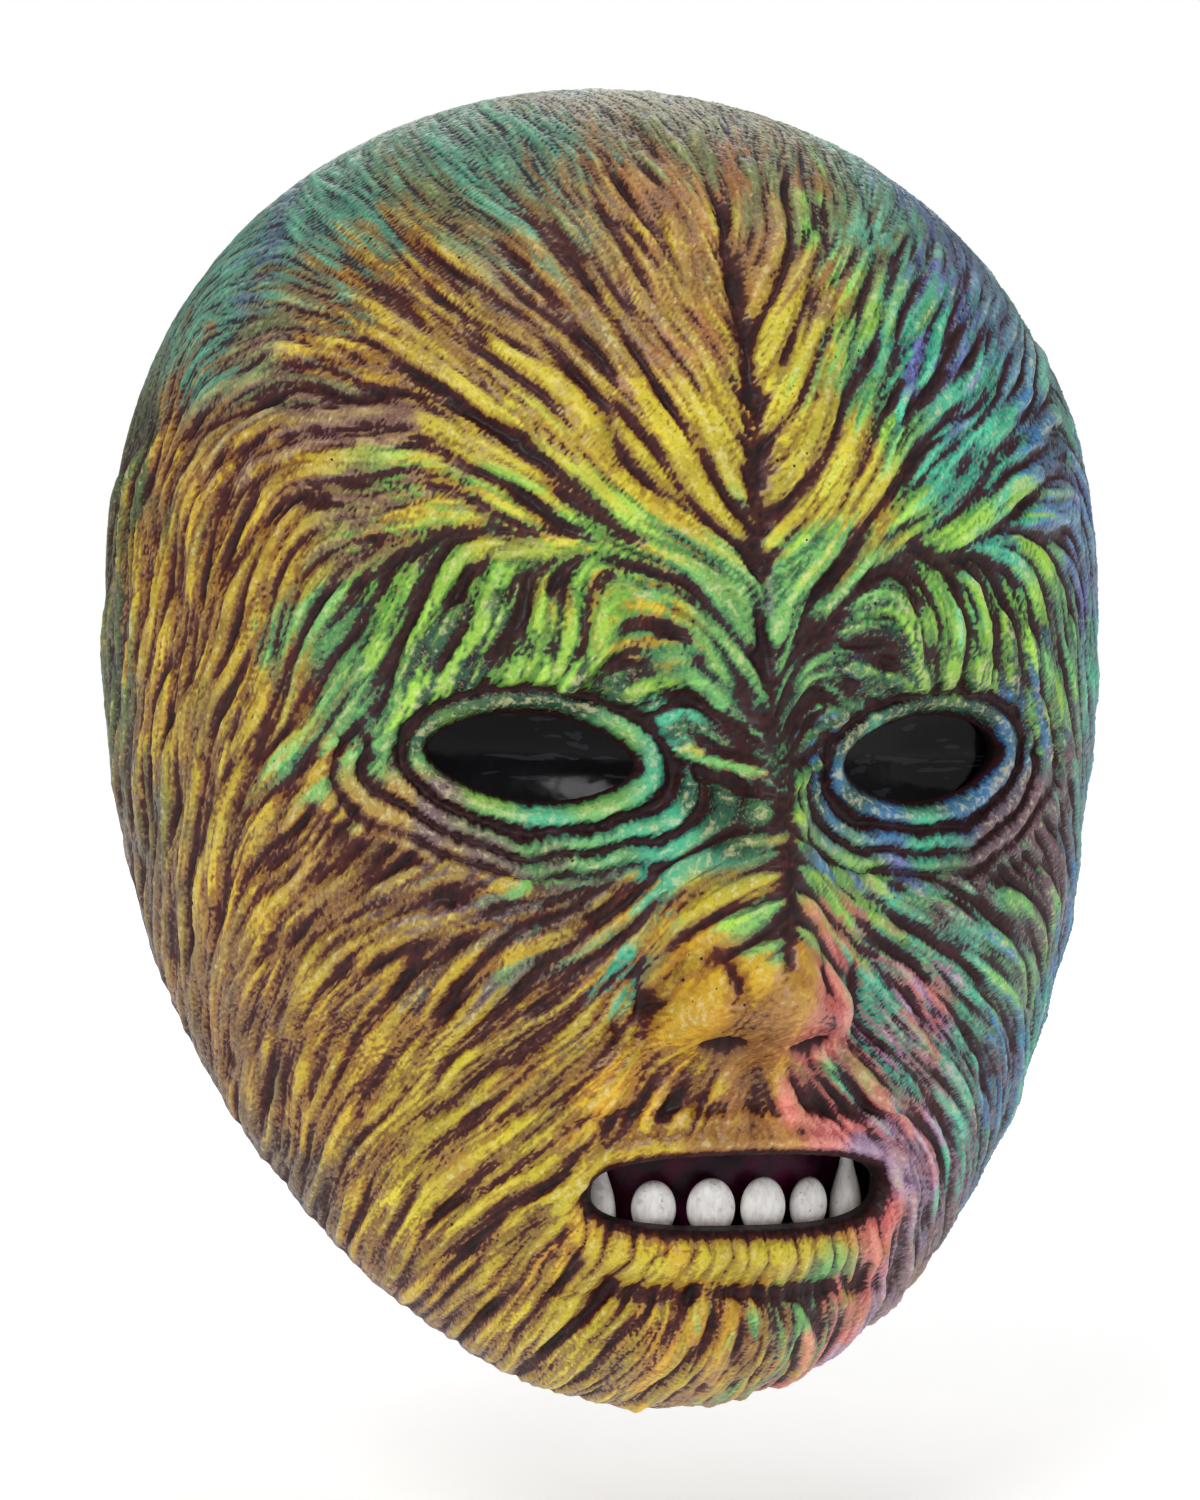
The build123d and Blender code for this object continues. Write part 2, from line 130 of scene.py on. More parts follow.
def upper_lower(z, middle, power_up, power_down):
    up = np.clip((z - middle) / (HALF_HEIGHT - middle), 0, 1)
    down = np.clip((middle - z) / (HALF_HEIGHT + middle), 0, 1)
    return np.where(z >= middle, 1 - up**power_up, 1 - down**power_down)


def broad_relief(x, z):
    """The CAD casting's own broad features."""
    eye = -9.0 * pair(x, z, EYE_X, EYE_Z, 23.0, 14.0)
    brow = 6.0 * pair(x, z, 36.0, 25.0, 26.0, 10.0)
    cheek = 5.0 * pair(x, z, 57.0, -32.0, 24.0, 20.0)
    muzzle = 8.0 * pair(x, z, 0.0, -78.0, 36.0, 26.0)
    chin = 7.0 * pair(x, z, 0.0, -110.0, 24.0, 13.0)
    ridge = NOSE_RISE * sigmoid(4.0 - z, 13.0) * sigmoid(z - NOSE_BASE_Z, 2.6)
    nose = ridge * np.exp(-((x / (8.0 + 0.07 * np.maximum(0.0, 10.0 - z))) ** 2))
    wings = 8.0 * pair(x, z, 12.0, -44.0, 6.5, 7.0)
    return eye + brow + cheek + muzzle + chin + nose + wings


def half_width(z):
    return HALF_WIDTH * np.sqrt(np.maximum(0, upper_lower(z, WIDEST_Z, 2.4, 2.3)))


def egg(azimuth, rise, relief=broad_relief):
    """Points of the form, and how squarely each one faces forwards."""
    z = HALF_HEIGHT * np.sin(rise)
    half = half_width(z)
    share = np.maximum(0, upper_lower(z, DEEPEST_Z, 2.6, 8.0))
    deep = FRONT_DEPTH * np.where(z >= DEEPEST_Z, np.sqrt(share), share ** (1 / 2.2))
    across, along = np.sin(azimuth), np.cos(azimuth)
    power = 2 / SECTION_POWER
    x = half * np.sign(across) * np.abs(across) ** power
    y = -deep * np.sign(along) * np.abs(along) ** power
    facing = np.sqrt(np.maximum(0, along))
    if relief:
        y = y - relief(x, z) * facing
    return np.stack([x, y, z], -1), facing


def grid_normals(points):
    """Outward unit normals of a grid of points, rows upwards and columns towards +X."""
    side = np.gradient(points, axis=1)
    up = np.gradient(points, axis=0)
    normal = np.cross(side, up)
    return normal / np.maximum(np.linalg.norm(normal, axis=-1, keepdims=True), 1e-9)


def packed_rises(rows):
    """Heights of the grid's rows as angles, closer together round the nose's underside."""
    fine = np.linspace(-1.53, 1.53, 4001)
    z = HALF_HEIGHT * np.sin(fine)
    density = 1 + 2.2 * roll(z, NOSE_BASE_Z, 6.0) + 0.5 * roll(z, MOUTH_Z, 16.0)
    total = np.concatenate([[0.0], np.cumsum((density[1:] + density[:-1]) / 2)])
    return np.interp(np.linspace(0, total[-1], rows), total, fine)


def form_grid(rows, columns, relief=broad_relief):
    azimuth, rise = np.meshgrid(np.linspace(-SIDE_ANGLE, SIDE_ANGLE, columns), packed_rises(rows))
    points, facing = egg(azimuth, rise, relief)
    return points, facing, azimuth, rise


RIM_CURVE = np.polyfit([z for _, z in RIM], [y for y, _ in RIM], len(RIM) - 1)


def ahead_of_rim(points):
    """Positive in front of the trimmed edge, in mm."""
    return np.polyval(RIM_CURVE, points[..., 2]) - points[..., 1]


def superellipse(x, z, half, up, power):
    """Signed distance from a pointed oval, roughly in mm: negative inside it."""
    px, pz = np.abs(x) / half, np.abs(z) / up
    size = (px**power + pz**power) ** (1 / power) + 1e-6
    across, along = px ** (power - 1) / half, pz ** (power - 1) / up
    slope = np.hypot(across * size ** (1 - power), along * size ** (1 - power))
    return (size - 1) / np.maximum(slope, 1 / (2.2 * half))


def lid_middle(x):
    """The eye opening's long axis rises a little outwards."""
    return EYE_Z + 0.06 * (np.abs(x) - EYE_X)


def lid_distance(x, z):
    return superellipse(np.abs(x) - EYE_X, z - lid_middle(x), LID_HALF, LID_UP, LID_POWER)


def lip_line(x):
    """The mouth's long axis, with the corners a little lower than the middle."""
    return MOUTH_Z + 1.0 - 0.0016 * x**2


def lip_distance(x, z):
    over = z - lip_line(x)
    high = superellipse(x, over, LIP_HALF, LIP_UP, LIP_POWER)
    low = superellipse(x, over, LIP_HALF, LIP_DOWN, LIP_POWER)
    return np.where(over > 0, high, low)


def nostril_distance(points):
    """Distance from the edge of the nearer nostril, in mm, which grows off the nose's underside."""
    x, y, z = points[..., 0], points[..., 1], points[..., 2]
    wide, long = NOSTRIL_HALF
    lean = 0.25 * (y - NOSTRIL_Y)
    size = np.sqrt(((np.abs(x) - NOSTRIL_X - lean) / wide) ** 2 + ((y - NOSTRIL_Y) / long) ** 2) - 1
    beyond = np.maximum(0, np.maximum(NOSTRIL_REACH[0] - z, z - NOSTRIL_REACH[1]))
    return size * wide + 3 * beyond


def features(x, z):
    """Sculpted lids, nose, lips and brow, forwards of the broad form, in mm."""
    lid = lid_distance(x, z)
    above = smooth(z - lid_middle(x), -2.0, 4.0)
    near = 1 - smooth(lid, 16.0, 24.0)
    upper = 3.4 * roll(lid, 2.6, 2.1) + 2.6 * roll(lid, 8.0, 3.4) - 1.2 * roll(lid, 5.2, 1.2)
    sag = lid + 0.7 * np.sin(x / 5.0 + 1.0) + 0.4 * np.sin(x / 2.1)
    lower = 3.2 * roll(lid, 2.6, 2.1) + 2.0 * roll(sag, 8.0, 1.7) + 1.8 * roll(sag, 12.0, 1.6)
    lower += 1.3 * roll(sag, 15.8, 1.6) - 1.5 * roll(sag, 5.6, 0.9) - 1.2 * roll(sag, 10.0, 0.8)
    lower -= 1.0 * roll(sag, 14.0, 0.8)
    eye = near * (above * upper + (1 - above) * lower) - 1.4 * roll(lid, -0.5, 1.4)

    lip = lip_distance(x, z)
    over = smooth(z - lip_line(x), -2.5, 2.5)
    upper = 2.0 * roll(lip, 2.3, 1.9) + 1.0 * roll(lip, 6.0, 2.6) - 0.7 * roll(lip, 9.0, 1.5)
    lower = 4.4 * roll(lip, 5.0, 4.0) - 1.7 * roll(lip, 12.6, 2.2)
    ends = 1 - smooth(np.abs(x), 30.0, 40.0)
    mouth = ends * (over * upper + (1 - over) * lower) - 1.2 * roll(lip, -0.4, 1.2)
    corner = 2.4 * pair(x, z, 37.0, -82.0, 5.5, 8.0) - 1.2 * pair(x, z, 31.5, -81.5, 2.0, 3.0)

    tip = 4.6 * bell(x, z, 0.0, -41.5, 10.0, 7.5)
    wing = 4.6 * pair(x, z, 15.0, -44.5, 4.6, 5.2) + 1.2 * pair(x, z, 12.5, -38.5, 3.5, 4.0)
    crease = -2.6 * pair(x, z, 21.0, -43.5, 2.2, 7.5) - 2.0 * pair(x, z, 8.6, -37.5, 1.7, 4.5)
    bridge = 2.0 * bell(x, z, 0.0, -12.0, 9.0, 18.0)
    groove = -1.1 * bell(x, z, 0.0, -62.0, 2.6, 7.0) + 0.9 * pair(x, z, 5.4, -62.0, 2.2, 7.0)
    fold = 2.0 * pair(x, z - 0.55 * (np.abs(x) - 30), 30.0, -56.0, 7.0, 10.0)
    frown = 2.0 * pair(x, z, 17.0, 21.0, 8.0, 6.0) - 1.6 * bell(x, z, 0.0, 24.0, 2.0, 12.0)
    return eye + mouth + corner + tip + wing + crease + bridge + groove + fold + frown


# ---------------------------------------------------------------- the pelt: fur laid out on an unrolled sheet

PELT_U = np.arange(-PELT_HALF_U, PELT_HALF_U, PELT_STEP)
PELT_V = np.arange(-PELT_HALF_V, PELT_HALF_V, PELT_STEP)
PELT_SHAPE = (len(PELT_V), len(PELT_U))
COMB_STEP = 4  # pelt cells from one worked-out heading to the next
COMB_AREA = 60.0  # mm2 round a heading of the comb within which it rules
COMB_HOLD = 2.2  # how fast its rule falls beyond


def unroll():
    """Horizontal arc length from the midline and mean arc length from the eye line, for each grid point."""
    points, _, _, rise = form_grid(ROWS, COLUMNS, relief=None)
    step_u = np.linalg.norm(np.diff(points, axis=1), axis=-1)
    step_v = np.linalg.norm(np.diff(points, axis=0), axis=-1).mean(axis=1)
    u = np.concatenate([np.zeros((ROWS, 1)), np.cumsum(step_u, axis=1)], axis=1)
    u = u - 0.5 * (u[:, COLUMNS // 2 - 1] + u[:, COLUMNS // 2])[:, None]
    v = np.concatenate([[0.0], np.cumsum(step_v)])
    eye_row = np.interp(0.0, rise[:, 0], np.arange(ROWS))
    v = v - np.interp(eye_row, np.arange(ROWS), v)
    return u, np.repeat(v[:, None], COLUMNS, axis=1), points


GRID_U, GRID_V, PLAIN = unroll()


def pelt_places():
    """Each pelt cell's x and z on the plain egg."""
    rows = np.interp(PELT_V, GRID_V[:, 0], np.arange(ROWS))
    z = np.interp(rows, np.arange(ROWS), PLAIN[:, 0, 2])
    x = np.empty((len(PELT_V), len(PELT_U)))
    for k, row in enumerate(rows.round().astype(int)):
        x[k] = np.interp(PELT_U, GRID_U[row], PLAIN[row, :, 0])
    return x, np.repeat(z[:, None], len(PELT_U), axis=1)


PELT_X, PELT_Z = pelt_places()

# The way the fur lies on the wearer's left half: arc length from the midline, height, and heading in degrees
# above the sideways direction. The right half is its mirror image.
COMB = (
    (3, 30, 58), (3, 55, 66), (3, 85, 76), (3, 118, 84), (3, 133, 88),
    (22, 42, 44), (24, 68, 55), (24, 98, 68), (28, 125, 78),
    (46, 48, 26), (50, 72, 42), (54, 104, 56), (60, 122, 60),
    (74, 54, 0), (78, 78, 22), (84, 104, 40),
    (100, 44, -52), (104, 70, -34), (108, 98, -8),
    (124, 30, -76), (132, 66, -70), (132, 0, -84), (128, -40, -78), (150, 30, -84),
    (5, 12, 66), (12, 36, 46), (20, 29, -6), (18, 16, -30), (34, 31, -82), (50, 31, -80), (66, 26, -66),
    (80, 12, -52), (92, 18, -60), (4, -2, 10), (4, -12, -22), (6, -26, -34), (16, -14, -36), (30, -30, -30),
    (50, -26, -26), (72, -18, -36), (92, -14, -56),
    (26, -48, -50), (44, -46, -36), (66, -46, -40), (90, -46, -56), (112, -60, -68),
    (4, -62, -86), (18, -62, -60), (34, -66, -44), (48, -78, -50), (66, -78, -54), (88, -82, -62),
    (10, -98, -86), (26, -98, -66), (44, -98, -58), (62, -104, -58), (84, -106, -62),
    (0, -116, -90), (20, -120, -80), (44, -122, -68), (2, -133, -90),
)


def comb_field():
    """Unit heading of the fur at each pelt cell."""
    side = np.abs(PELT_U)[None, ::COMB_STEP]
    height = PELT_Z[::COMB_STEP, ::COMB_STEP]
    east, north = np.zeros_like(height), np.zeros_like(height)
    for u, z, degrees in COMB:
        weight = 1 / (((side - u) ** 2 + (height - z) ** 2) / COMB_AREA + 1.0) ** COMB_HOLD
        east += weight * math.cos(math.radians(degrees))
        north += weight * math.sin(math.radians(degrees))
    rng = np.random.default_rng(SEED)
    turn = np.radians(34.0) * (soft_noise(rng, 14.0)[::COMB_STEP, ::COMB_STEP] - 0.5)
    angle = np.arctan2(north, east) + turn
    east, north = np.cos(angle), np.sin(angle)
    east = east * np.sign(PELT_U)[None, ::COMB_STEP]
    return enlarge(east, COMB_STEP), enlarge(north, COMB_STEP)


def enlarge(field, factor):
    """A coarse field at every cell of the pelt, by smooth interpolation."""
    return sample(field, np.arange(PELT_SHAPE[0])[:, None] / factor, np.arange(PELT_SHAPE[1])[None] / factor)


def sample(field, row, column):
    """Bilinear samples of a 2-D field at fractional rows and columns."""
    row = np.clip(row, 0, field.shape[0] - 1.001)
    column = np.clip(column, 0, field.shape[1] - 1.001)
    i, j = np.floor(row).astype(int), np.floor(column).astype(int)
    f, g = row - i, column - j
    low = field[i, j] * (1 - g) + field[i, j + 1] * g
    high = field[i + 1, j] * (1 - g) + field[i + 1, j + 1] * g
    return low * (1 - f) + high * f


def soft_noise(rng, size_mm):
    """Smooth noise from 0 to 1 over the pelt, with blobs about size_mm across."""
    step = size_mm / PELT_STEP
    lattice = rng.random([int(count / step) + 3 for count in PELT_SHAPE])
    rows, columns = (np.arange(count) / step for count in PELT_SHAPE)
    rows = np.floor(rows) + smooth(rows % 1, 0, 1)
    columns = np.floor(columns) + smooth(columns % 1, 0, 1)
    return sample(lattice, rows[:, None], columns[None, :])


def blur(field, size_mm):
    """Two box blurs each way, which come close to a round one."""
    reach = max(1, int(round(size_mm / PELT_STEP / 2)))
    for axis in (0, 1, 0, 1):
        padded = np.pad(field, [(reach + 1, reach) if a == axis else (0, 0) for a in (0, 1)], mode="edge")
        total = np.cumsum(padded, axis=axis)
        ahead = np.take(total, np.arange(2 * reach + 1, total.shape[axis]), axis=axis)
        behind = np.take(total, np.arange(0, total.shape[axis] - 2 * reach - 1), axis=axis)
        field = (ahead - behind) / (2 * reach + 1)
    return field


COMB_EAST, COMB_NORTH = comb_field()


def streaks(noise, length_mm):
    """Noise dragged along the fur's lie in both directions."""
    rows, columns = np.indices(noise.shape).astype(float)
    total = noise.copy()
    steps = int(length_mm / PELT_STEP / 2 / 1.5)
    for way in (-1.5, 1.5):
        row, column = rows.copy(), columns.copy()
        for _ in range(steps):
            i = np.clip(row.round().astype(np.int32), 0, noise.shape[0] - 1)
            j = np.clip(column.round().astype(np.int32), 0, noise.shape[1] - 1)
            total += noise[i, j]
            row += way * COMB_NORTH[i, j]
            column += way * COMB_EAST[i, j]
    total /= 2 * steps + 1
    spread = total.std()
    return np.clip(0.5 + (total - total.mean()) / (4 * spread), 0, 1)


def pelt_cell(u, v):
    i = min(max(int((v + PELT_HALF_V) / PELT_STEP), 0), PELT_SHAPE[0] - 1)
    j = min(max(int((u + PELT_HALF_U) / PELT_STEP), 0), PELT_SHAPE[1] - 1)
    return i, j


def trace(u, v, length_mm, pieces, drift):
    """A path along the fur from (u, v), which drifts one way and then back."""
    path = [(u, v)]
    step = length_mm / pieces
    for k in range(pieces):
        cell = pelt_cell(u, v)
        angle = math.atan2(COMB_NORTH[cell], COMB_EAST[cell]) + drift * math.cos(math.pi * k / pieces)
        u += step * math.cos(angle)
        v += step * math.sin(angle)
        path.append((u, v))
    return np.array(path)


def lay_lock(pelt, path, width, height, tone, strands, phase, over=False):
    """Raises one tapered lock on the pelt, where it stands above what is there, or over everything."""
    low = ((path.min(0) - width + (PELT_HALF_U, PELT_HALF_V)) / PELT_STEP).astype(int)
    high = ((path.max(0) + width + (PELT_HALF_U, PELT_HALF_V)) / PELT_STEP).astype(int) + 1
    j0, i0 = np.maximum(low, 0)
    j1, i1 = np.minimum(high, PELT_SHAPE[::-1])
    if i1 - i0 < 2 or j1 - j0 < 2:
        return
    u, v = PELT_U[None, j0:j1], PELT_V[i0:i1, None]
    best = np.full((i1 - i0, j1 - j0), 1e9)
    along = np.zeros_like(best)
    across = np.zeros_like(best)
    count = len(path) - 1
    for k in range(count):
        (au, av), (bu, bv) = path[k], path[k + 1]
        du, dv = bu - au, bv - av
        square = du * du + dv * dv + 1e-9
        t = np.clip(((u - au) * du + (v - av) * dv) / square, 0, 1)
        off_u, off_v = u - au - t * du, v - av - t * dv
        distance = off_u * off_u + off_v * off_v
        nearer = distance < best
        best = np.where(nearer, distance, best)
        along = np.where(nearer, (k + t) / count, along)
        across = np.where(nearer, np.sign(du * off_v - dv * off_u), across)
    distance = np.sqrt(best)
    girth = width / 2 * (np.sin(np.pi * np.clip(along, 0, 1) ** 0.72) ** 0.75 * 0.96 + 0.04)
    s = distance / girth
    inside = s < 1
    if not inside.any():
        return
    crown = np.maximum(0, 1 - s**2.6) ** 0.6
    lift = height * (0.30 + 0.70 * np.sin(np.pi * np.clip(along, 0, 1) ** 0.8) ** 0.6) * crown
    strand = np.abs(np.sin(np.pi * (0.5 * (s * across + 1) * strands + phase + 0.25 * np.sin(5 * along))))
    lift -= 0.26 * height * (1 - strand**0.5) * crown * (strands > 1)
    here = pelt["height"][i0:i1, j0:j1]
    if over:
        lift = lift + 0.94 * here - 0.12
    wins = inside & (lift > here)
    here[wins] = lift[wins]
    pelt["tone"][i0:i1, j0:j1][wins] = tone


def fur_amount(x, z):
    """Where the skin is furred: not on the lids, the nose's end or the lips."""
    lid, lip = lid_distance(x, z), lip_distance(x, z)
    under_eye = smooth(lid_middle(x) - z, -2.0, 5.0)
    over_lip = smooth(z - lip_line(x), -2.0, 3.0)
    amount = smooth(lid, 3.5 + 8.5 * under_eye, 8.0 + 9.0 * under_eye)
    from_lip = lip + 0.6 * np.maximum(0, np.abs(x) - 22.0)
    amount = amount * smooth(from_lip, 8.0 - 3.5 * over_lip, 13.0 - 5.0 * over_lip)
    amount = amount * (1 - 0.97 * np.minimum(1, 1.5 * bell(x, z, 0.0, -46.0, 17.0, 9.5)))
    return amount * (1 - 0.55 * bell(x, z, 0.0, -63.0, 7.0, 7.0))


def airbrushed(u, z):
    """1 at the crown and the outer temples, where the relief is low and the strands are fine and short."""
    return smooth(z + 0.42 * np.abs(u), 114.0, 131.0)


# Neat rows of larger locks, mirrored: first place (arc length, height), number, steps, width, length, height.
LAID_ROWS = (
    (1.6, 22.0, 15, 0.0, 7.0, 7.4, 46.0, 3.1),  # barbs each side of the forehead's parting
    (1.4, -34.0, 6, 0.0, 5.4, 6.2, 30.0, 2.9),  # arcs down over the bridge of the nose
    (18.0, 30.0, 5, 6.0, 1.0, 6.0, 19.0, 3.2),  # brow tufts over the inner half of the eye
    (50.0, 34.0, 5, 6.5, -2.6, 6.0, 20.0, 3.1),  # brow tufts over its outer half
)


def pelt_v(z):
    """The pelt's upright coordinate at a height."""
    return float(np.interp(z, PELT_Z[:, 0], PELT_V))


# The random locks, small to large: spacing in mm, then the least and most of their width, length and height.
LOCK_SIZES = (
    (4.6, (1.6, 3.0), (12.0, 26.0), (0.7, 1.3)),
    (6.4, (3.0, 5.0), (22.0, 40.0), (1.3, 2.0)),
    (9.0, (4.6, 8.6), (30.0, 56.0), (1.9, 2.9)),
)
LOCK_DRIFT = math.radians(46.0)
ROW_DRIFT = math.radians(9.0)
THIN_DRIFT = math.radians(22.0)
THIN_LOCKS = 5200
STRAND_WIDTH = 1.9


def between(limits, share):
    return limits[0] + share * (limits[1] - limits[0])


def scatter_locks(pelt, rng):
    """Overlapping locks of three sizes, smaller round the eyes and fewer where the relief is low."""
    wide = soft_noise(rng, 26.0)
    locks = []
    for pitch, *limits in LOCK_SIZES:
        for v0 in np.arange(-PELT_HALF_V, PELT_HALF_V, pitch * 1.5):
            for u0 in np.arange(-PELT_HALF_U, PELT_HALF_U, pitch):
                u, v = np.array([u0, v0]) + rng.uniform(-0.5, 0.5, 2) * (pitch, 1.5 * pitch)
                locks.append((u, v, limits, rng.random(7)))
    for k in rng.permutation(len(locks)):
        u, v, (widths, lengths, heights), draws = locks[k]
        cell = pelt_cell(u, v)
        x, z = PELT_X[cell], PELT_Z[cell]
        calm = airbrushed(u, z)
        if fur_amount(x, z) < 0.15 or draws[0] < 0.85 * calm:
            continue
        near_eye = roll(lid_distance(x, z), 0.0, 16.0)
        width = between(widths, draws[1]) * (0.75 + 0.5 * wide[cell])
        width = width * (1 - 0.55 * calm) * (1 - 0.35 * near_eye)
        length = between(lengths, draws[2]) * (1 - 0.4 * calm) * (1 - 0.45 * near_eye)
        height = between(heights, draws[3]) * (1 - 0.30 * calm) * (1 - 0.2 * near_eye)
        path = trace(u, v, length, 9, LOCK_DRIFT * (draws[4] - 0.5))
        lay_lock(pelt, path, width, height, draws[5], 1 + int(width / STRAND_WIDTH), draws[6])


def row_locks(pelt, rng):
    for start_u, start_z, count, step_u, step_z, width, length, height in LAID_ROWS:
        for k in range(count):
            for side in (-1, 1):
                draws = rng.random(5)
                place = k + 0.5 * (draws[0] - 0.5)
                u, v = side * (start_u + place * step_u), pelt_v(start_z + place * step_z)
                path = trace(u, v, length * (0.8 + 0.4 * draws[1]), 10, ROW_DRIFT * (draws[2] - 0.5))
                lay_lock(pelt, path, width * (0.8 + 0.4 * draws[3]), height, draws[4], 3, draws[0])


def thin_locks(pelt, rng):
    """Stray thin locks that ride over the others."""
    for _ in range(THIN_LOCKS):
        draws = rng.random(8)
        u, v = (draws[0] * 2 - 1) * PELT_HALF_U, (draws[1] * 2 - 1) * PELT_HALF_V
        path = trace(u, v, 9.0 + 22.0 * draws[2], 6, THIN_DRIFT * (draws[3] - 0.5))
        lay_lock(pelt, path, 1.1 + 1.6 * draws[4], 0.35 + 0.45 * draws[5], draws[6], 1, draws[7], over=True)


def lay_fur():
    """The fur's height in mm and each lock's own tone."""
    pelt = {"height": np.zeros(PELT_SHAPE), "tone": np.full(PELT_SHAPE, 0.35)}
    rng = np.random.default_rng(SEED + 1)
    for lay in (scatter_locks, row_locks, thin_locks):
        lay(pelt, rng)
    pelt["height"] = blur(pelt["height"], 0.8)
    return pelt


PELT = lay_fur()
FINE = streaks(np.random.default_rng(SEED + 2).random(PELT_SHAPE), 9.0)
RIBBED = streaks(soft_noise(np.random.default_rng(SEED + 3), 1.7), 20.0)


def on_pelt(field, u, v):
    return sample(field, (v + PELT_HALF_V) / PELT_STEP, (u + PELT_HALF_U) / PELT_STEP)


# ---------------------------------------------------------------- the sculpted skin


def nostrils(points, wall=0.0):
    """Draws the skin up into two blind nostrils, and says how deep in one each point is, from 0 to 1."""
    inside = 1 - smooth(nostril_distance(points - (0, 0, wall)) - wall, -2.0, 0.9)
    return points + inside[..., None] * np.array([0.0, 0.15, 1.0]) * NOSTRIL_DEPTH, inside


def sculpt():
    """The painted surface, as a grid of points with the fields that its paint needs."""
    points, facing, _, _ = form_grid(ROWS, COLUMNS)
    x, z = points[..., 0].copy(), points[..., 2].copy()
    points[..., 1] -= features(x, z) * facing
    fur = fur_amount(x, z)
    height = on_pelt(PELT["height"], GRID_U, GRID_V)
    ribs = on_pelt(RIBBED, GRID_U, GRID_V)
    fine = on_pelt(FINE, GRID_U, GRID_V)
    calm = airbrushed(GRID_U, z)
    height = height * (1 - 0.82 * calm) + 0.5 * calm
    lift = fur * (height + (0.9 - 0.6 * calm) * (ribs - 0.5) + 0.55 * (fine - 0.5)) - 0.8 * fur
    lift = lift * (0.45 + 0.55 * smooth(ahead_of_rim(points), 0.0, 7.0))
    # the lower lip's upright pleats, and shallow wrinkles on the bare skin
    lip = lip_distance(x, z)
    below = 1 - smooth(z - lip_line(x), -2.0, 2.0)
    wander = 1.1 * np.sin(x / 4.1 + 1.3) + 0.5 * np.sin(x / 1.7) + 0.35 * np.sin(z / 2.2 + x)
    pleat = np.abs(np.sin(np.pi * (x * (1 - 0.010 * (lip - 5)) + wander) / 4.4)) ** 0.5
    lips = roll(lip, 5.2, 5.0) * (1 - smooth(np.abs(x), 30.0, 38.0))
    lift += lips * (0.3 + 0.7 * below) * 1.7 * (pleat - 0.8)
    lid = lid_distance(x, z)
    crinkle = np.sin(2.4 * lid + 2.2 * (ribs - 0.5) * 6)
    lift += 0.22 * crinkle * (1 - smooth(lid, 8.0, 17.0)) * smooth(lid, 2.5, 5.0)
    lift += 0.3 * (1 - fur) * (fine - 0.5)
    base = points.copy()
    points = points + grid_normals(base) * lift[..., None]
    points, nostril = nostrils(points)
    return {"points": points, "lift": lift, "relief": lift + features(x, z), "fur": fur, "nostril": nostril,
            "fine": fine, "calm": calm, "lid": lid, "lip": lip, "z": z}


MOST_MOVED = 1.4  # cells by which a border point may move


def edge_field(points):
    """Positive on the kept skin: in front of the rim, and outside the eyes and the mouth."""
    x, z = points[..., 0], points[..., 2]
    return np.stack([ahead_of_rim(points), lid_distance(x, z), lip_distance(x, z)], 0)


def trimmed(plain):
    """The grid's kept cells and points, and where its border points move to, to lie exactly on an edge."""
    fields = edge_field(plain)
    keep = (fields > 0).all(0)
    cells = keep[:-1, :-1] & keep[1:, :-1] & keep[:-1, 1:] & keep[1:, 1:]
    uses = np.zeros(keep.shape, int)
    for i in (0, 1):
        for j in (0, 1):
            uses[i : keep.shape[0] - 1 + i, j : keep.shape[1] - 1 + j] += cells
    border = (uses > 0) & (uses < 4)
    slope_r = np.gradient(fields, axis=1)
    slope_c = np.gradient(fields, axis=2)
    steep = np.sqrt(slope_r**2 + slope_c**2) + 1e-9
    which = np.argmin(np.abs(fields) / steep, axis=0)
    picked = (np.take_along_axis(field, which[None], 0)[0] for field in (fields, slope_r, slope_c, steep))
    value, down, right, size = picked
    rows, columns = np.indices(keep.shape).astype(float)
    rows = rows - np.clip(value * down / size**2, -MOST_MOVED, MOST_MOVED)
    columns = columns - np.clip(value * right / size**2, -MOST_MOVED, MOST_MOVED)
    return cells, uses > 0, border, (rows[border], columns[border])


def border_loops(quads):
    """Directed loops of the edges that only one face uses."""
    edges = np.concatenate([quads[:, [k, (k + 1) % 4]] for k in range(4)])
    known = set(map(tuple, edges.tolist()))
    follow = {a: b for a, b in known if (b, a) not in known}
    loops = []
    while follow:
        start = min(follow)
        loop = [start]
        at = follow.pop(start)
        while at != start:
            loop.append(at)
            at = follow.pop(at)
        loops.append(loop)
    return loops


def grid_surface(plain, grids):
    """Kept points, quads and fields of one grid, with smooth borders."""
    cells, used, border, at = trimmed(plain)
    number = np.full(used.shape, -1)
    number[used] = np.arange(used.sum())
    values = []
    for grid in grids:
        grid = grid if grid.ndim == 3 else grid[..., None]
        moved = np.stack([sample(grid[..., k], *at) for k in range(grid.shape[-1])], -1)
        fresh = grid.astype(float).copy()
        fresh[border] = moved
        values.append(fresh[used])
    i, j = np.nonzero(cells)
    quads = np.stack([number[i, j], number[i, j + 1], number[i + 1, j + 1], number[i + 1, j]], -1)
    return values, quads


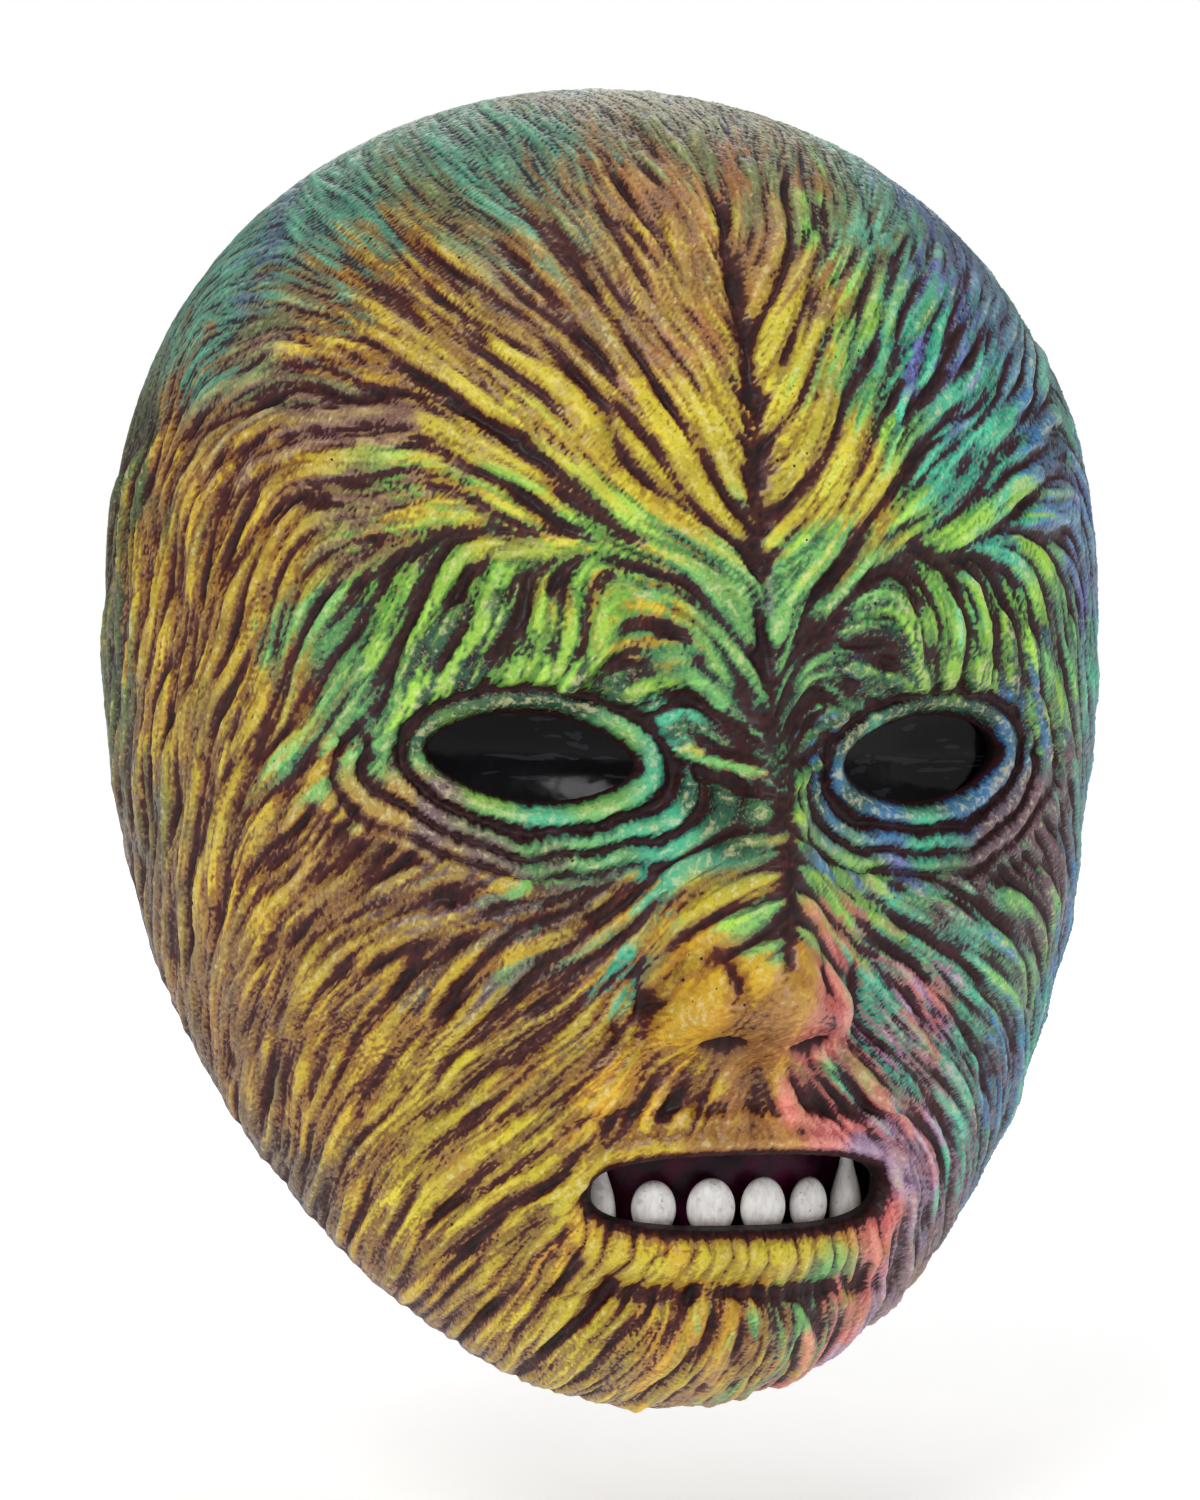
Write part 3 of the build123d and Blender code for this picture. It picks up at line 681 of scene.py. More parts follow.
def bridge(points, outer, inner):
    """Triangles between two closed loops that go round the same hole or edge."""
    centre = points[outer].mean(0)
    flat = np.argsort(np.ptp(points[outer], axis=0))[1:]  # the two directions in which the loop is widest

    def turns(loop):
        across, up = (points[loop] - centre)[:, flat].T
        return np.arctan2(up, across)

    def ordered(loop):
        turn = np.unwrap(turns(loop))
        if turn[-1] < turn[0]:
            loop = loop[::-1]
        start = int(np.argmin(np.abs(turns(loop))))
        loop = loop[start:] + loop[:start]
        turn = np.unwrap(turns(loop))
        return loop + loop[:1], np.append(np.maximum.accumulate(turn - turn[0]), 2 * np.pi)

    (first, turn_a), (second, turn_b) = ordered(outer), ordered(inner)
    faces, a, b = [], 0, 0
    while a < len(first) - 1 or b < len(second) - 1:
        if b == len(second) - 1 or (a < len(first) - 1 and turn_a[a + 1] <= turn_b[b + 1]):
            faces.append((first[a + 1], first[a], second[b]))
            a += 1
        else:
            faces.append((second[b], second[b + 1], first[a]))
            b += 1
    return faces


def mesh_object(name, points, faces, body):
    """A mesh in millimetres as a Blender object that rides on a body. faces is a list of arrays."""
    mesh = bpy.data.meshes.new(name)
    sizes = np.concatenate([np.full(len(f), f.shape[1]) for f in faces])
    loops = np.concatenate([f.ravel() for f in faces])
    mesh.vertices.add(len(points))
    mesh.vertices.foreach_set("co", (np.asarray(points, float) * MM).astype(np.float32).ravel())
    mesh.loops.add(len(loops))
    mesh.loops.foreach_set("vertex_index", loops.astype(np.int32))
    mesh.polygons.add(len(sizes))
    mesh.polygons.foreach_set("loop_start", np.concatenate([[0], np.cumsum(sizes)[:-1]]).astype(np.int32))
    mesh.update(calc_edges=True)
    mesh.validate()
    mesh.polygons.foreach_set("use_smooth", np.full(len(mesh.polygons), True))
    made = bpy.data.objects.new(name, mesh)
    bpy.context.scene.collection.objects.link(made)
    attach(made, body)
    return made


def set_field(thing, name, values):
    field = thing.data.attributes.new(name, "FLOAT", "POINT")
    field.data.foreach_set("value", values.astype(np.float32).ravel())


def set_colour(thing, name, values):
    opaque = np.concatenate([values, np.ones((len(values), 1))], -1).astype(np.float32)
    field = thing.data.attributes.new(name, "FLOAT_COLOR", "POINT")
    field.data.foreach_set("color", opaque.ravel())


# ---------------------------------------------------------------- paint

# Each paint in sRGB steps: the dry-brushed crests, the body of the locks and the stain in the grooves.
PAINTS = {
    "yellow": ((206, 190, 50), (158, 130, 36), (78, 26, 18)),
    "mustard": ((196, 168, 44), (140, 98, 32), (78, 25, 18)),
    "golden": ((214, 172, 44), (180, 128, 34), (92, 36, 18)),
    "ochre": ((176, 144, 68), (130, 90, 46), (74, 28, 22)),
    "rust": ((170, 124, 68), (138, 90, 50), (58, 27, 26)),
    "mauve": ((162, 136, 96), (118, 86, 78), (54, 19, 28)),
    "olive": ((140, 154, 96), (98, 108, 70), (46, 35, 34)),
    "dark_olive": ((92, 112, 64), (58, 72, 44), (29, 30, 26)),
    "jaw_brown": ((136, 114, 76), (98, 77, 56), (45, 27, 28)),
    "teal_green": ((112, 184, 150), (74, 146, 120), (32, 62, 66)),
    "blue_grey": ((112, 152, 162), (70, 110, 130), (34, 46, 72)),
    "lime": ((160, 208, 74), (98, 162, 62), (25, 46, 32)),
    "leaf": ((122, 188, 100), (64, 132, 80), (25, 40, 44)),
    "teal": ((82, 192, 150), (36, 140, 116), (24, 38, 58)),
    "indigo": ((108, 118, 178), (68, 78, 134), (34, 26, 58)),
    "slate": ((98, 138, 174), (60, 92, 132), (32, 30, 60)),
    "blue": ((66, 128, 178), (34, 84, 130), (30, 22, 54)),
    "lavender": ((190, 164, 190), (128, 102, 140), (50, 26, 52)),
    "coral": ((232, 140, 128), (192, 90, 90), (72, 24, 38)),
    "plum": ((116, 86, 100), (76, 46, 62), (40, 17, 30)),
    # painted shade: the brow's shadow round the upper lids, near black in all three steps
    "shadow": ((34, 78, 60), (14, 30, 28), (5, 7, 9)),
}

# Where each paint is strongest: arc length from the midline (+ towards the wearer's left) and height, in mm.
PAINTED = {
    "yellow": ((-14, 78), (-20, 50), (-36, 64), (-54, 66), (-50, -74), (-20, -108), (-8, -16), (-2, -92),
        (14, 56), (14, 82)),
    "ochre": ((-38, 94), (-22, 108), (-118, 62), (-74, -12), (-110, -46), (0, -131), (-60, -116)),
    "mauve": ((-74, 72), (-90, 70), (62, -108), (20, -126)),
    "mustard": ((-70, 90), (-112, 44), (-128, 24), (-100, 18), (-28, -34), (-56, -34), (-88, -22),
        (-80, -60), (-66, -94), (-44, -116), (-20, -62)),
    "olive": ((-96, 86), (-60, 118), (30, 120), (4, 128)),
    "teal_green": ((-120, 96), (-84, 114), (-56, 128), (-30, 126), (90, 70), (48, 112), (56, -36)),
    "blue_grey": ((-104, 104), (74, 84), (118, 60), (146, 40)),
    "rust": ((-8, 120), (-6, 100), (-4, -60), (14, 110)),
    "dark_olive": ((-146, 56), (-150, 8)),
    "jaw_brown": ((-148, -30), (-128, -58), (-108, -78), (-92, -100), (84, -106)),
    "lime": ((-34, 30), (-60, 30), (-44, -8), (9, -16), (26, 96), (30, 56), (42, 30), (62, 28), (24, -26)),
    "leaf": ((-78, 14), (-14, 20), (-60, 0), (-44, -17), (0, 6), (4, -36), (32, 74), (22, 26), (80, 20),
        (44, -17), (78, -34), (12, -110)),
    # painted shade: the brow's shadow over the upper lids and eye sockets
    "shadow": ((-17, 4), (-40, 13), (-30, 12), (-52, 11), (-62, 8), (17, 4), (40, 13), (30, 12), (52, 11),
        (62, 8)),
    "teal": ((-22, -6), (-30, -16), (34, 94), (52, 54), (48, 72), (98, 14), (42, -8), (36, -38), (52, -62),
        (100, -66)),
    "plum": ((-60, -14), (-46, -23), (60, -14), (48, -24), (78, -12), (60, -86)),
    "golden": ((-2, -116), (-6, -40), (-14, -46), (5, -46), (-20, -90), (14, -92)),
    "coral": ((15, -45), (29, -88), (25, -58), (28, -106)),
    "indigo": ((54, 90), (96, 40), (30, -17)),
    "slate": ((66, 104), (92, 52), (128, 20), (148, -10), (126, -50), (84, -84)),
    "blue": ((72, 60), (22, -6), (60, 0), (98, -36), (70, -56)),
    "lavender": ((32, -64), (42, -80), (42, -108)),
}


PAINT_AREA = 90.0  # mm2 round a place within which its paint rules
PAINT_HOLD = 2.5  # how fast its rule falls beyond


def linear(steps):
    value = np.asarray(steps, float) / 255
    return np.where(value <= 0.04045, value / 12.92, ((value + 0.055) / 1.055) ** 2.4)


def paint_at(u, z, stray):
    """The three paint colours around (u, z). stray moves each lock's brush load about, in mm."""
    colours = np.zeros((len(u), 3, 3))
    total = np.zeros(len(u))
    for name, places in PAINTED.items():
        for at_u, at_z in places:
            near = ((u + stray[:, 0] - at_u) ** 2 + (z + stray[:, 1] - at_z) ** 2) / PAINT_AREA
            weight = 1 / (near + 0.4) ** PAINT_HOLD
            colours += weight[:, None, None] * linear(PAINTS[name])
            total += weight
    return colours / total[:, None, None]


# ---------------------------------------------------------------- node materials


def grey(value):
    return (value, value, value, 1)


def rgba(steps):
    return (*linear(steps), 1)


class Surface:
    """A node material built up from small steps around one Principled shader."""

    def __init__(self, name, **inputs):
        self.material = bpy.data.materials.new(name)
        self.material.use_nodes = True
        self.tree = self.material.node_tree
        self.shader = self.tree.nodes["Principled BSDF"]
        for key, value in inputs.items():
            self.shader.inputs[key.replace("_", " ")].default_value = value
        self.place = self.tree.nodes.new("ShaderNodeTexCoord").outputs["Object"]
        self.bumps = None

    def node(self, kind, inputs=None, **settings):
        made = self.tree.nodes.new(kind)
        for key, value in settings.items():
            setattr(made, key, value)
        for key, value in (inputs or {}).items():
            if isinstance(value, bpy.types.NodeSocket):
                self.tree.links.new(value, made.inputs[key])
            else:
                made.inputs[key].default_value = value
        return made

    def field(self, name):
        return self.node("ShaderNodeAttribute", attribute_name=name).outputs["Fac"]

    def colour_field(self, name):
        return self.node("ShaderNodeAttribute", attribute_name=name).outputs["Color"]

    def stretched(self, x, y, z):
        return self.node("ShaderNodeMapping", {"Vector": self.place, "Scale": (x, y, z)}).outputs["Vector"]

    def noise(self, scale, detail=3.0, roughness=0.55, place=None, distortion=0.0):
        inputs = {"Vector": place or self.place, "Scale": scale, "Detail": detail, "Roughness": roughness,
                  "Distortion": distortion}
        return self.node("ShaderNodeTexNoise", inputs).outputs["Fac"]

    def cells(self, scale, randomness=1.0):
        inputs = {"Vector": self.place, "Scale": scale, "Randomness": randomness}
        return self.node("ShaderNodeTexVoronoi", inputs).outputs["Distance"]

    def remap(self, value, low, high, start=0.0, end=1.0, soft=True):
        inputs = {"Value": value, "From Min": low, "From Max": high, "To Min": start, "To Max": end}
        way = "SMOOTHSTEP" if soft else "LINEAR"
        return self.node("ShaderNodeMapRange", inputs, interpolation_type=way).outputs["Result"]

    def maths(self, operation, a, b=0.0):
        return self.node("ShaderNodeMath", {0: a, 1: b}, operation=operation).outputs["Value"]

    def times(self, a, b):
        return self.maths("MULTIPLY", a, b)

    def plus(self, a, b):
        return self.maths("ADD", a, b)

    def mix(self, share, a, b):
        made = self.node("ShaderNodeMix", {"Factor": share}, data_type="RGBA")
        for index, value in ((6, a), (7, b)):
            if isinstance(value, bpy.types.NodeSocket):
                self.tree.links.new(value, made.inputs[index])
            else:
                made.inputs[index].default_value = value
        return made.outputs[2]

    def layer(self, under, value, low, high, most, steps):
        """Covers a colour with another one, up to a share, as a value goes from low to high."""
        return self.mix(self.remap(value, low, high, 0.0, most), under, rgba(steps))

    def graded(self, value, low, high, first, last):
        """A blend from one colour to another as a value goes from low to high."""
        return self.mix(self.remap(value, low, high), rgba(first), rgba(last))

    def colour(self, value):
        self.tree.links.new(value, self.shader.inputs["Base Color"])

    def rough(self, value):
        self.tree.links.new(value, self.shader.inputs["Roughness"])

    def bump(self, height, distance, strength=1.0):
        """Adds a layer of bump, distance in mm."""
        inputs = {"Height": height, "Distance": distance * MM, "Strength": strength}
        if self.bumps:
            inputs["Normal"] = self.bumps
        self.bumps = self.node("ShaderNodeBump", inputs).outputs["Normal"]
        self.tree.links.new(self.bumps, self.shader.inputs["Normal"])
        return self


def painted_latex():
    """Stained grooves with painted shade at their deepest, one body colour to a lock, dry-brushed crests with
    painted highlights on the highest, specks, pinholes and a thin sealer.
    """
    made = Surface("painted_latex", Coat_Weight=0.08, Coat_Roughness=0.2, Specular_IOR_Level=0.28)
    proud = made.field("proud")
    streak = made.field("streak")
    grain = made.noise(1500.0, 2.0)
    fine = made.noise(620.0, 4.0, 0.6)
    patchy = made.noise(95.0, 3.0)
    level = made.plus(proud, made.remap(fine, 0.2, 0.8, -0.13, 0.13, soft=False))
    level = made.plus(level, made.remap(streak, 0.1, 0.9, -0.22, 0.19, soft=False))
    deep = made.colour_field("paint_deep")
    body = made.mix(made.remap(level, 0.30, 0.52), deep, made.colour_field("paint_body"))
    body = made.mix(made.remap(patchy, 0.42, 0.72, 0.0, 0.30), body, deep)
    dusting = made.times(made.remap(grain, 0.52, 0.64), made.remap(level, 0.22, 0.50, 0.0, 0.42))
    body = made.mix(dusting, body, rgba((178, 138, 104)))
    body = made.mix(made.remap(level, 0.10, 0.40, 0.88, 0.0), body, rgba((62, 18, 15)))
    # painted shade: near black where the relief is deepest
    body = made.mix(made.remap(level, -0.10, 0.20, 0.92, 0.0), body, rgba((20, 4, 6)))
    dashes = made.times(made.remap(streak, 0.20, 0.36, 0.8, 0.0), made.field("calm"))
    body = made.mix(dashes, body, rgba((22, 40, 52)))
    brushed = made.times(made.remap(level, 0.56, 0.80), made.remap(patchy, 0.30, 0.55, 0.45, 1.0))
    brushed = made.times(brushed, made.remap(grain, 0.30, 0.52, 0.55, 1.0))
    colour = made.mix(brushed, body, made.colour_field("paint_crest"))
    # painted highlight: pale cream glints on the highest crests
    glints = made.times(made.remap(level, 0.82, 1.02), made.remap(fine, 0.45, 0.65, 0.0, 0.42))
    colour = made.mix(glints, colour, rgba((236, 226, 170)))
    specks = made.remap(made.cells(330.0), 0.05, 0.11, 1.0, 0.0)
    specks = made.times(specks, made.remap(made.noise(40.0, 2.0), 0.50, 0.62, 0.0, 0.85))
    colour = made.mix(specks, colour, rgba((40, 14, 20)))
    pinholes = made.remap(made.cells(210.0), 0.03, 0.075, 1.0, 0.0)
    pinholes = made.times(pinholes, made.remap(made.noise(26.0, 1.0), 0.55, 0.62))
    colour = made.mix(pinholes, colour, rgba((26, 10, 14)))
    made.colour(colour)
    rough = made.remap(made.plus(fine, made.times(brushed, 0.35)), 0.3, 1.1, 0.30, 0.56)
    made.rough(made.plus(rough, made.remap(level, 0.15, 0.45, 0.30, 0.0)))
    made.bump(streak, 0.18, 0.7)
    made.bump(fine, 0.10, 0.7)
    made.bump(grain, 0.05, 0.6)
    made.bump(pinholes, -0.5)
    return made.material


def raw_latex():
    """The unpainted inside of the casting: poured latex with pools, runs and a dusty bloom."""
    made = Surface("raw_latex", Coat_Weight=0.08, Coat_Roughness=0.4, Subsurface_Weight=0.12)
    made.shader.inputs["Subsurface Radius"].default_value = (0.004, 0.0025, 0.0012)
    made.shader.inputs["Subsurface Scale"].default_value = 1.0
    pools = made.noise(32.0, 4.0, 0.6, distortion=0.8)
    runs = made.noise(120.0, 3.0, place=made.stretched(1, 1, 0.22))
    dust = made.noise(700.0, 3.0)
    colour = made.graded(pools, 0.3, 0.7, (226, 202, 158), (198, 166, 112))
    colour = made.layer(colour, runs, 0.45, 0.75, 0.5, (176, 138, 84))
    colour = made.layer(colour, dust, 0.5, 0.8, 0.35, (238, 224, 192))
    made.colour(colour)
    made.rough(made.remap(pools, 0.2, 0.8, 0.42, 0.66))
    return made.bump(runs, 0.5, 0.7).bump(dust, 0.08, 0.8).material


def mouth_lining():
    """Damp-looking dark purple paint inside the cup."""
    made = Surface("mouth_lining", Coat_Weight=0.05, Coat_Roughness=0.25, Specular_IOR_Level=0.12)
    wet = made.noise(160.0, 4.0)
    colour = made.graded(wet, 0.35, 0.7, (24, 2, 13), (78, 10, 46))
    colour = made.layer(colour, made.noise(60.0, 3.0), 0.5, 0.8, 0.6, (88, 12, 62))
    made.colour(colour)
    made.rough(made.remap(wet, 0.2, 0.8, 0.26, 0.5))
    return made.bump(wet, 0.5, 0.7).bump(made.noise(700.0, 2.0), 0.08).material


def gum_rubber():
    """Dark red gum paint, folded upright between the teeth."""
    made = Surface("gum_rubber", Coat_Weight=0.45, Coat_Roughness=0.18)
    folds = made.noise(230.0, 3.0, place=made.stretched(1, 1, 0.35))
    colour = made.graded(folds, 0.3, 0.7, (40, 12, 22), (112, 46, 56))
    colour = made.layer(colour, made.noise(900.0, 2.0), 0.5, 0.75, 0.4, (150, 84, 84))
    made.colour(colour)
    made.rough(made.remap(folds, 0.2, 0.8, 0.3, 0.48))
    return made.bump(folds, 0.5, 0.8).material


ROOT_STAIN = (-0.0865, -0.0815)  # heights in metres between which the stain at the gum fades out


def tooth_resin():
    """Chalky off-white paint, greyer and stained towards the gum, with brush-marks up the tooth."""
    made = Surface("tooth_resin", Coat_Weight=0.18, Coat_Roughness=0.3, Subsurface_Weight=0.08)
    made.shader.inputs["Subsurface Radius"].default_value = (0.002, 0.0016, 0.0012)
    made.shader.inputs["Subsurface Scale"].default_value = 1.0
    brush = made.noise(900.0, 3.0, place=made.stretched(1, 1, 0.3))
    blots = made.noise(380.0, 4.0, 0.65)
    height = made.node("ShaderNodeSeparateXYZ", {"Vector": made.place}).outputs["Z"]
    root = made.remap(made.plus(height, made.times(blots, 0.006)), *ROOT_STAIN, 1.0, 0.0)
    colour = made.graded(brush, 0.3, 0.7, (240, 238, 234), (216, 212, 210))
    colour = made.layer(colour, blots, 0.52, 0.72, 0.5, (136, 130, 134))
    colour = made.mix(root, colour, rgba((118, 88, 84)))
    pits = made.remap(made.cells(900.0), 0.05, 0.14, 1.0, 0.0)
    pits = made.times(pits, made.remap(blots, 0.5, 0.6))
    colour = made.mix(pits, colour, rgba((52, 40, 44)))
    made.colour(colour)
    made.rough(made.remap(blots, 0.3, 0.8, 0.36, 0.6))
    return made.bump(brush, 0.10, 0.7).bump(blots, 0.35, 0.6).bump(pits, -0.2).material


def smoked_lens():
    """Vacuum-formed smoked plastic: near black, glossy, with dust and a few hairline scratches."""
    made = Surface("smoked_lens", Specular_IOR_Level=0.11, IOR=1.49)
    haze = made.noise(70.0, 3.0)
    dust = made.remap(made.cells(1500.0), 0.03, 0.10, 1.0, 0.0)
    scratch = made.noise(260.0, 2.0, place=made.stretched(0.05, 1, 1.6), distortion=0.4)
    scratch = made.remap(scratch, 0.60, 0.63, 0.0, 0.35)
    colour = made.graded(haze, 0.3, 0.8, (2, 2, 4), (9, 9, 13))
    colour = made.mix(made.times(dust, 0.35), colour, rgba((92, 92, 98)))
    made.colour(made.mix(scratch, colour, rgba((58, 58, 66))))
    made.rough(made.remap(haze, 0.3, 0.8, 0.12, 0.26))
    return made.bump(haze, 0.8, 0.5).bump(dust, 0.03).material


def gasket_rubber():
    """Matt black moulded rubber with a little dust."""
    made = Surface("gasket_rubber", Coat_Weight=0.05, Coat_Roughness=0.5)
    flow = made.noise(300.0, 3.0)
    colour = made.graded(flow, 0.3, 0.7, (22, 22, 24), (38, 37, 40))
    colour = made.layer(colour, made.noise(2200.0, 2.0), 0.56, 0.72, 0.3, (84, 82, 80))
    made.colour(colour)
    made.rough(made.remap(flow, 0.2, 0.8, 0.52, 0.72))
    return made.bump(flow, 0.12, 0.7).bump(made.noise(1800.0, 2.0), 0.05).material


def foam():
    """Charcoal open-cell foam: pores a millimetre or less across, with a paler bloom in patches."""
    made = Surface("foam", Sheen_Weight=0.35, Sheen_Roughness=0.5)
    pores = made.remap(made.cells(1150.0), 0.18, 0.52)
    coarse = made.remap(made.cells(520.0, randomness=0.9), 0.12, 0.42)
    fluff = made.noise(90.0, 4.0)
    # painted shade: darker towards the middle of each pore and each coarse cell, the hollows of the open
    # cells
    colour = made.mix(pores, rgba((15, 15, 17)), rgba((60, 60, 64)))
    colour = made.mix(made.remap(coarse, 0, 1, 0.45, 0.0, soft=False), colour, rgba((20, 20, 23)))
    colour = made.layer(colour, fluff, 0.45, 0.75, 0.4, (92, 92, 96))
    made.colour(colour)
    made.rough(made.remap(fluff, 0.2, 0.8, 0.86, 0.97))
    return made.bump(coarse, 0.5, 0.8).bump(pores, 0.35, 0.9).material


def anchor_rubber():
    """Tan rubber sheet, cemented on, darker where the cement soaked in."""
    made = Surface("anchor_rubber", Coat_Weight=0.12, Coat_Roughness=0.35)
    skin = made.noise(240.0, 4.0)
    colour = made.graded(skin, 0.3, 0.7, (176, 140, 92), (206, 176, 128))
    colour = made.layer(colour, made.noise(50.0, 2.0), 0.5, 0.75, 0.5, (150, 112, 70))
    made.colour(colour)
    made.rough(made.remap(skin, 0.2, 0.8, 0.45, 0.65))
    return made.bump(skin, 0.3, 0.7).bump(made.cells(700.0), 0.08, 0.5).material


def rivet_metal():
    """Pressed nickel-plated brass, rubbed and lightly pitted."""
    made = Surface("rivet_metal", Metallic=1.0)
    wear = made.noise(380.0, 5.0, 0.65)
    rub = made.noise(2600.0, 2.0, place=made.stretched(1, 0.12, 1))
    colour = made.graded(wear, 0.35, 0.65, (196, 194, 188), (148, 144, 136))
    colour = made.layer(colour, wear, 0.60, 0.74, 0.7, (150, 118, 66))
    made.colour(colour)
    made.rough(made.remap(made.plus(wear, made.times(rub, 0.4)), 0.4, 1.1, 0.2, 0.46))
    return made.bump(rub, 0.02, 0.6).bump(wear, 0.06, 0.6).material


def washer_plastic():
    """Off-white moulded plastic, yellowed in places."""
    made = Surface("washer_plastic", Coat_Weight=0.1, Coat_Roughness=0.3)
    mould = made.noise(420.0, 3.0)
    colour = made.graded(mould, 0.3, 0.7, (206, 204, 196), (226, 224, 216))
    colour = made.layer(colour, made.noise(90.0, 3.0), 0.52, 0.75, 0.5, (168, 160, 142))
    made.colour(colour)
    made.rough(made.remap(mould, 0.2, 0.8, 0.34, 0.52))
    return made.bump(mould, 0.06, 0.7).material


def elastic_webbing():
    """Black woven elastic: covered rubber cords along the band, wefts across it, and fuzz."""
    made = Surface("elastic_webbing", Sheen_Weight=0.3, Sheen_Roughness=0.4)
    cord = made.maths("SINE", made.times(made.field("across"), 2 * math.pi / 1.25))
    weft = made.maths("SINE", made.times(made.field("along"), 2 * math.pi / 0.8))
    knit = made.times(cord, weft)
    hairs = made.noise(1600.0, 3.0)
    worn = made.noise(60.0, 3.0)
    colour = made.graded(cord, -1, 1, (8, 8, 9), (34, 34, 37))
    colour = made.layer(colour, knit, 0.2, 1, 0.4, (56, 56, 60))
    fuzz = made.times(made.remap(hairs, 0.55, 0.75), made.remap(worn, 0.4, 0.7, 0.15, 0.6))
    colour = made.mix(fuzz, colour, rgba((104, 102, 100)))
    made.colour(colour)
    made.rough(made.remap(hairs, 0.2, 0.8, 0.72, 0.92))
    return made.bump(knit, 0.16, 0.8).bump(hairs, 0.08, 0.6).material


def strap_plastic():
    """Black moulded plastic with scuffs."""
    made = Surface("strap_plastic", Coat_Weight=0.15, Coat_Roughness=0.25)
    mould = made.noise(500.0, 3.0)
    scuff = made.noise(120.0, 4.0, 0.7)
    colour = made.graded(mould, 0.3, 0.7, (15, 15, 17), (30, 30, 33))
    colour = made.layer(colour, scuff, 0.58, 0.72, 0.45, (74, 74, 78))
    made.colour(colour)
    made.rough(made.remap(scuff, 0.3, 0.75, 0.28, 0.55))
    return made.bump(mould, 0.05, 0.8).bump(scuff, 0.06, 0.5).material


def thread():
    """Dark polyester sewing thread with a slight sheen."""
    made = Surface("thread", Sheen_Weight=0.2, Sheen_Roughness=0.4)
    twist = made.noise(2400.0, 2.0, place=made.stretched(1, 1, 0.5))
    colour = made.graded(twist, 0.3, 0.7, (34, 34, 37), (92, 92, 96))
    made.colour(colour)
    made.rough(made.remap(twist, 0.2, 0.8, 0.55, 0.8))
    return made.bump(twist, 0.06, 0.8).material


# ---------------------------------------------------------------- the casting


LINING_LEAD = 2.4  # the nostrils' lining starts this far outside the painted hollow, in mm
LEVEL_REACH = 7  # grid steps each way that a point's height is compared with
PAINT_BLOTS = (17.0, 17.0, 5.0, 5.0)  # sizes of the blots that move and shade the paint, in mm


def near_levels(lift, reach):
    """How far each grid point stands above its surroundings, in mm."""
    total = np.zeros_like(lift)
    for axis in (0, 1):
        padded = np.pad(lift, [(reach, reach) if a == axis else (0, 0) for a in (0, 1)], mode="edge")
        for k in range(2 * reach + 1):
            total += np.take(padded, np.arange(k, k + lift.shape[axis]), axis=axis)
    return lift - total / (2 * (2 * reach + 1))


def build_skin():
    """The whole casting as one closed mesh: painted outside, raw latex inside and round the edges."""
    form = sculpt()
    lift, fur = form["lift"], form["fur"]
    rise = near_levels(form["relief"], LEVEL_REACH)
    proud = np.clip(0.50 + 0.56 * rise + 0.13 * (lift - 0.9) * fur, 0, 1.1)
    bare = 0.62 + 0.55 * rise - 0.25 * roll(form["lid"], 5.0, 1.3) - 0.20 * roll(form["lid"], 9.6, 1.2)
    bare -= 0.5 * roll(form["lip"], 0.2, 1.5) + 0.45 * roll(form["lid"], 0.0, 1.3)
    furred = smooth(fur, 0.55, 1.0)
    proud = proud * furred + np.clip(bare, 0, 1.1) * (1 - furred)
    # proud falls to 0 inside the blind nostrils, which paints them near black: painted shade, as dark as a
    # deeper hole looks
    proud = (proud + 0.14 * form["calm"] * fur) * (1 - smooth(form["nostril"], 0.02, 0.5))

    rng = np.random.default_rng(SEED + 4)
    tone = on_pelt(PELT["tone"], GRID_U, GRID_V)
    blots = [on_pelt(soft_noise(rng, size), GRID_U, GRID_V) - 0.5 for size in PAINT_BLOTS]
    stray_u = 26 * blots[0] + 9 * blots[2] + 15 * (tone - 0.5) * fur
    stray_z = 26 * blots[1] + 9 * blots[3] + 11 * np.sin(9 * tone) * fur
    shade = 1 + (0.42 * (tone - 0.5) + 0.30 * blots[2]) * fur

    names = ("proud", "streak", "calm", "shade", "stray_u", "stray_z", "gu", "gz")
    fields = (proud, form["fine"], form["calm"], shade, stray_u, stray_z, GRID_U, form["z"])
    kept, quads = grid_surface(form["points"], [form["points"], *fields])
    outside = kept[0]
    values = {name: kept[k + 1][:, 0] for k, name in enumerate(names)}

    rows, columns = ROWS // LINING_STEP, COLUMNS // LINING_STEP
    plain, _, _, _ = form_grid(rows, columns)
    lining, _ = nostrils(plain - SKIN * grid_normals(plain), wall=LINING_LEAD)
    (inside,), back = grid_surface(plain, [lining])

    points = np.concatenate([outside, inside])
    back = back[:, ::-1] + len(outside)
    front_loops = sorted(border_loops(quads), key=lambda loop: points[loop].mean(0)[0])
    back_loops = sorted(border_loops(back), key=lambda loop: points[loop].mean(0)[0])
    walls, painted = [], []
    for loop in front_loops:
        middle = points[loop].mean(0)
        match = min(back_loops, key=lambda other: np.linalg.norm(points[other].mean(0) - middle))
        made = bridge(points, loop, match)
        walls.extend(made)
        painted += [len(loop) < max(map(len, front_loops))] * len(made)
    walls = np.array(walls)

    skin = mesh_object("mask_skin", points, [quads, back, walls], "mask")
    spare = len(inside)
    for name in ("proud", "streak", "calm"):
        set_field(skin, name, np.concatenate([values[name], np.zeros(spare)]))
    paint = paint_at(values["gu"], values["gz"], np.stack([values["stray_u"], values["stray_z"]], -1))
    for k, name in enumerate(("paint_crest", "paint_body", "paint_deep")):
        tinted = np.clip(paint[:, k] * values["shade"][:, None] ** (1.0 if k < 2 else 0.4), 0, 1)
        set_colour(skin, name, np.concatenate([tinted, np.tile(linear((34, 14, 20)), (spare, 1))]))
    skin.data.materials.append(painted_latex())
    skin.data.materials.append(raw_latex())
    index = np.concatenate([np.zeros(len(quads)), np.ones(len(back)), 1 - np.array(painted)]).astype(np.int32)
    skin.data.polygons.foreach_set("material_index", index)
    close_mesh(skin)
    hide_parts("face_shell")
    return skin


# ---------------------------------------------------------------- foam pads


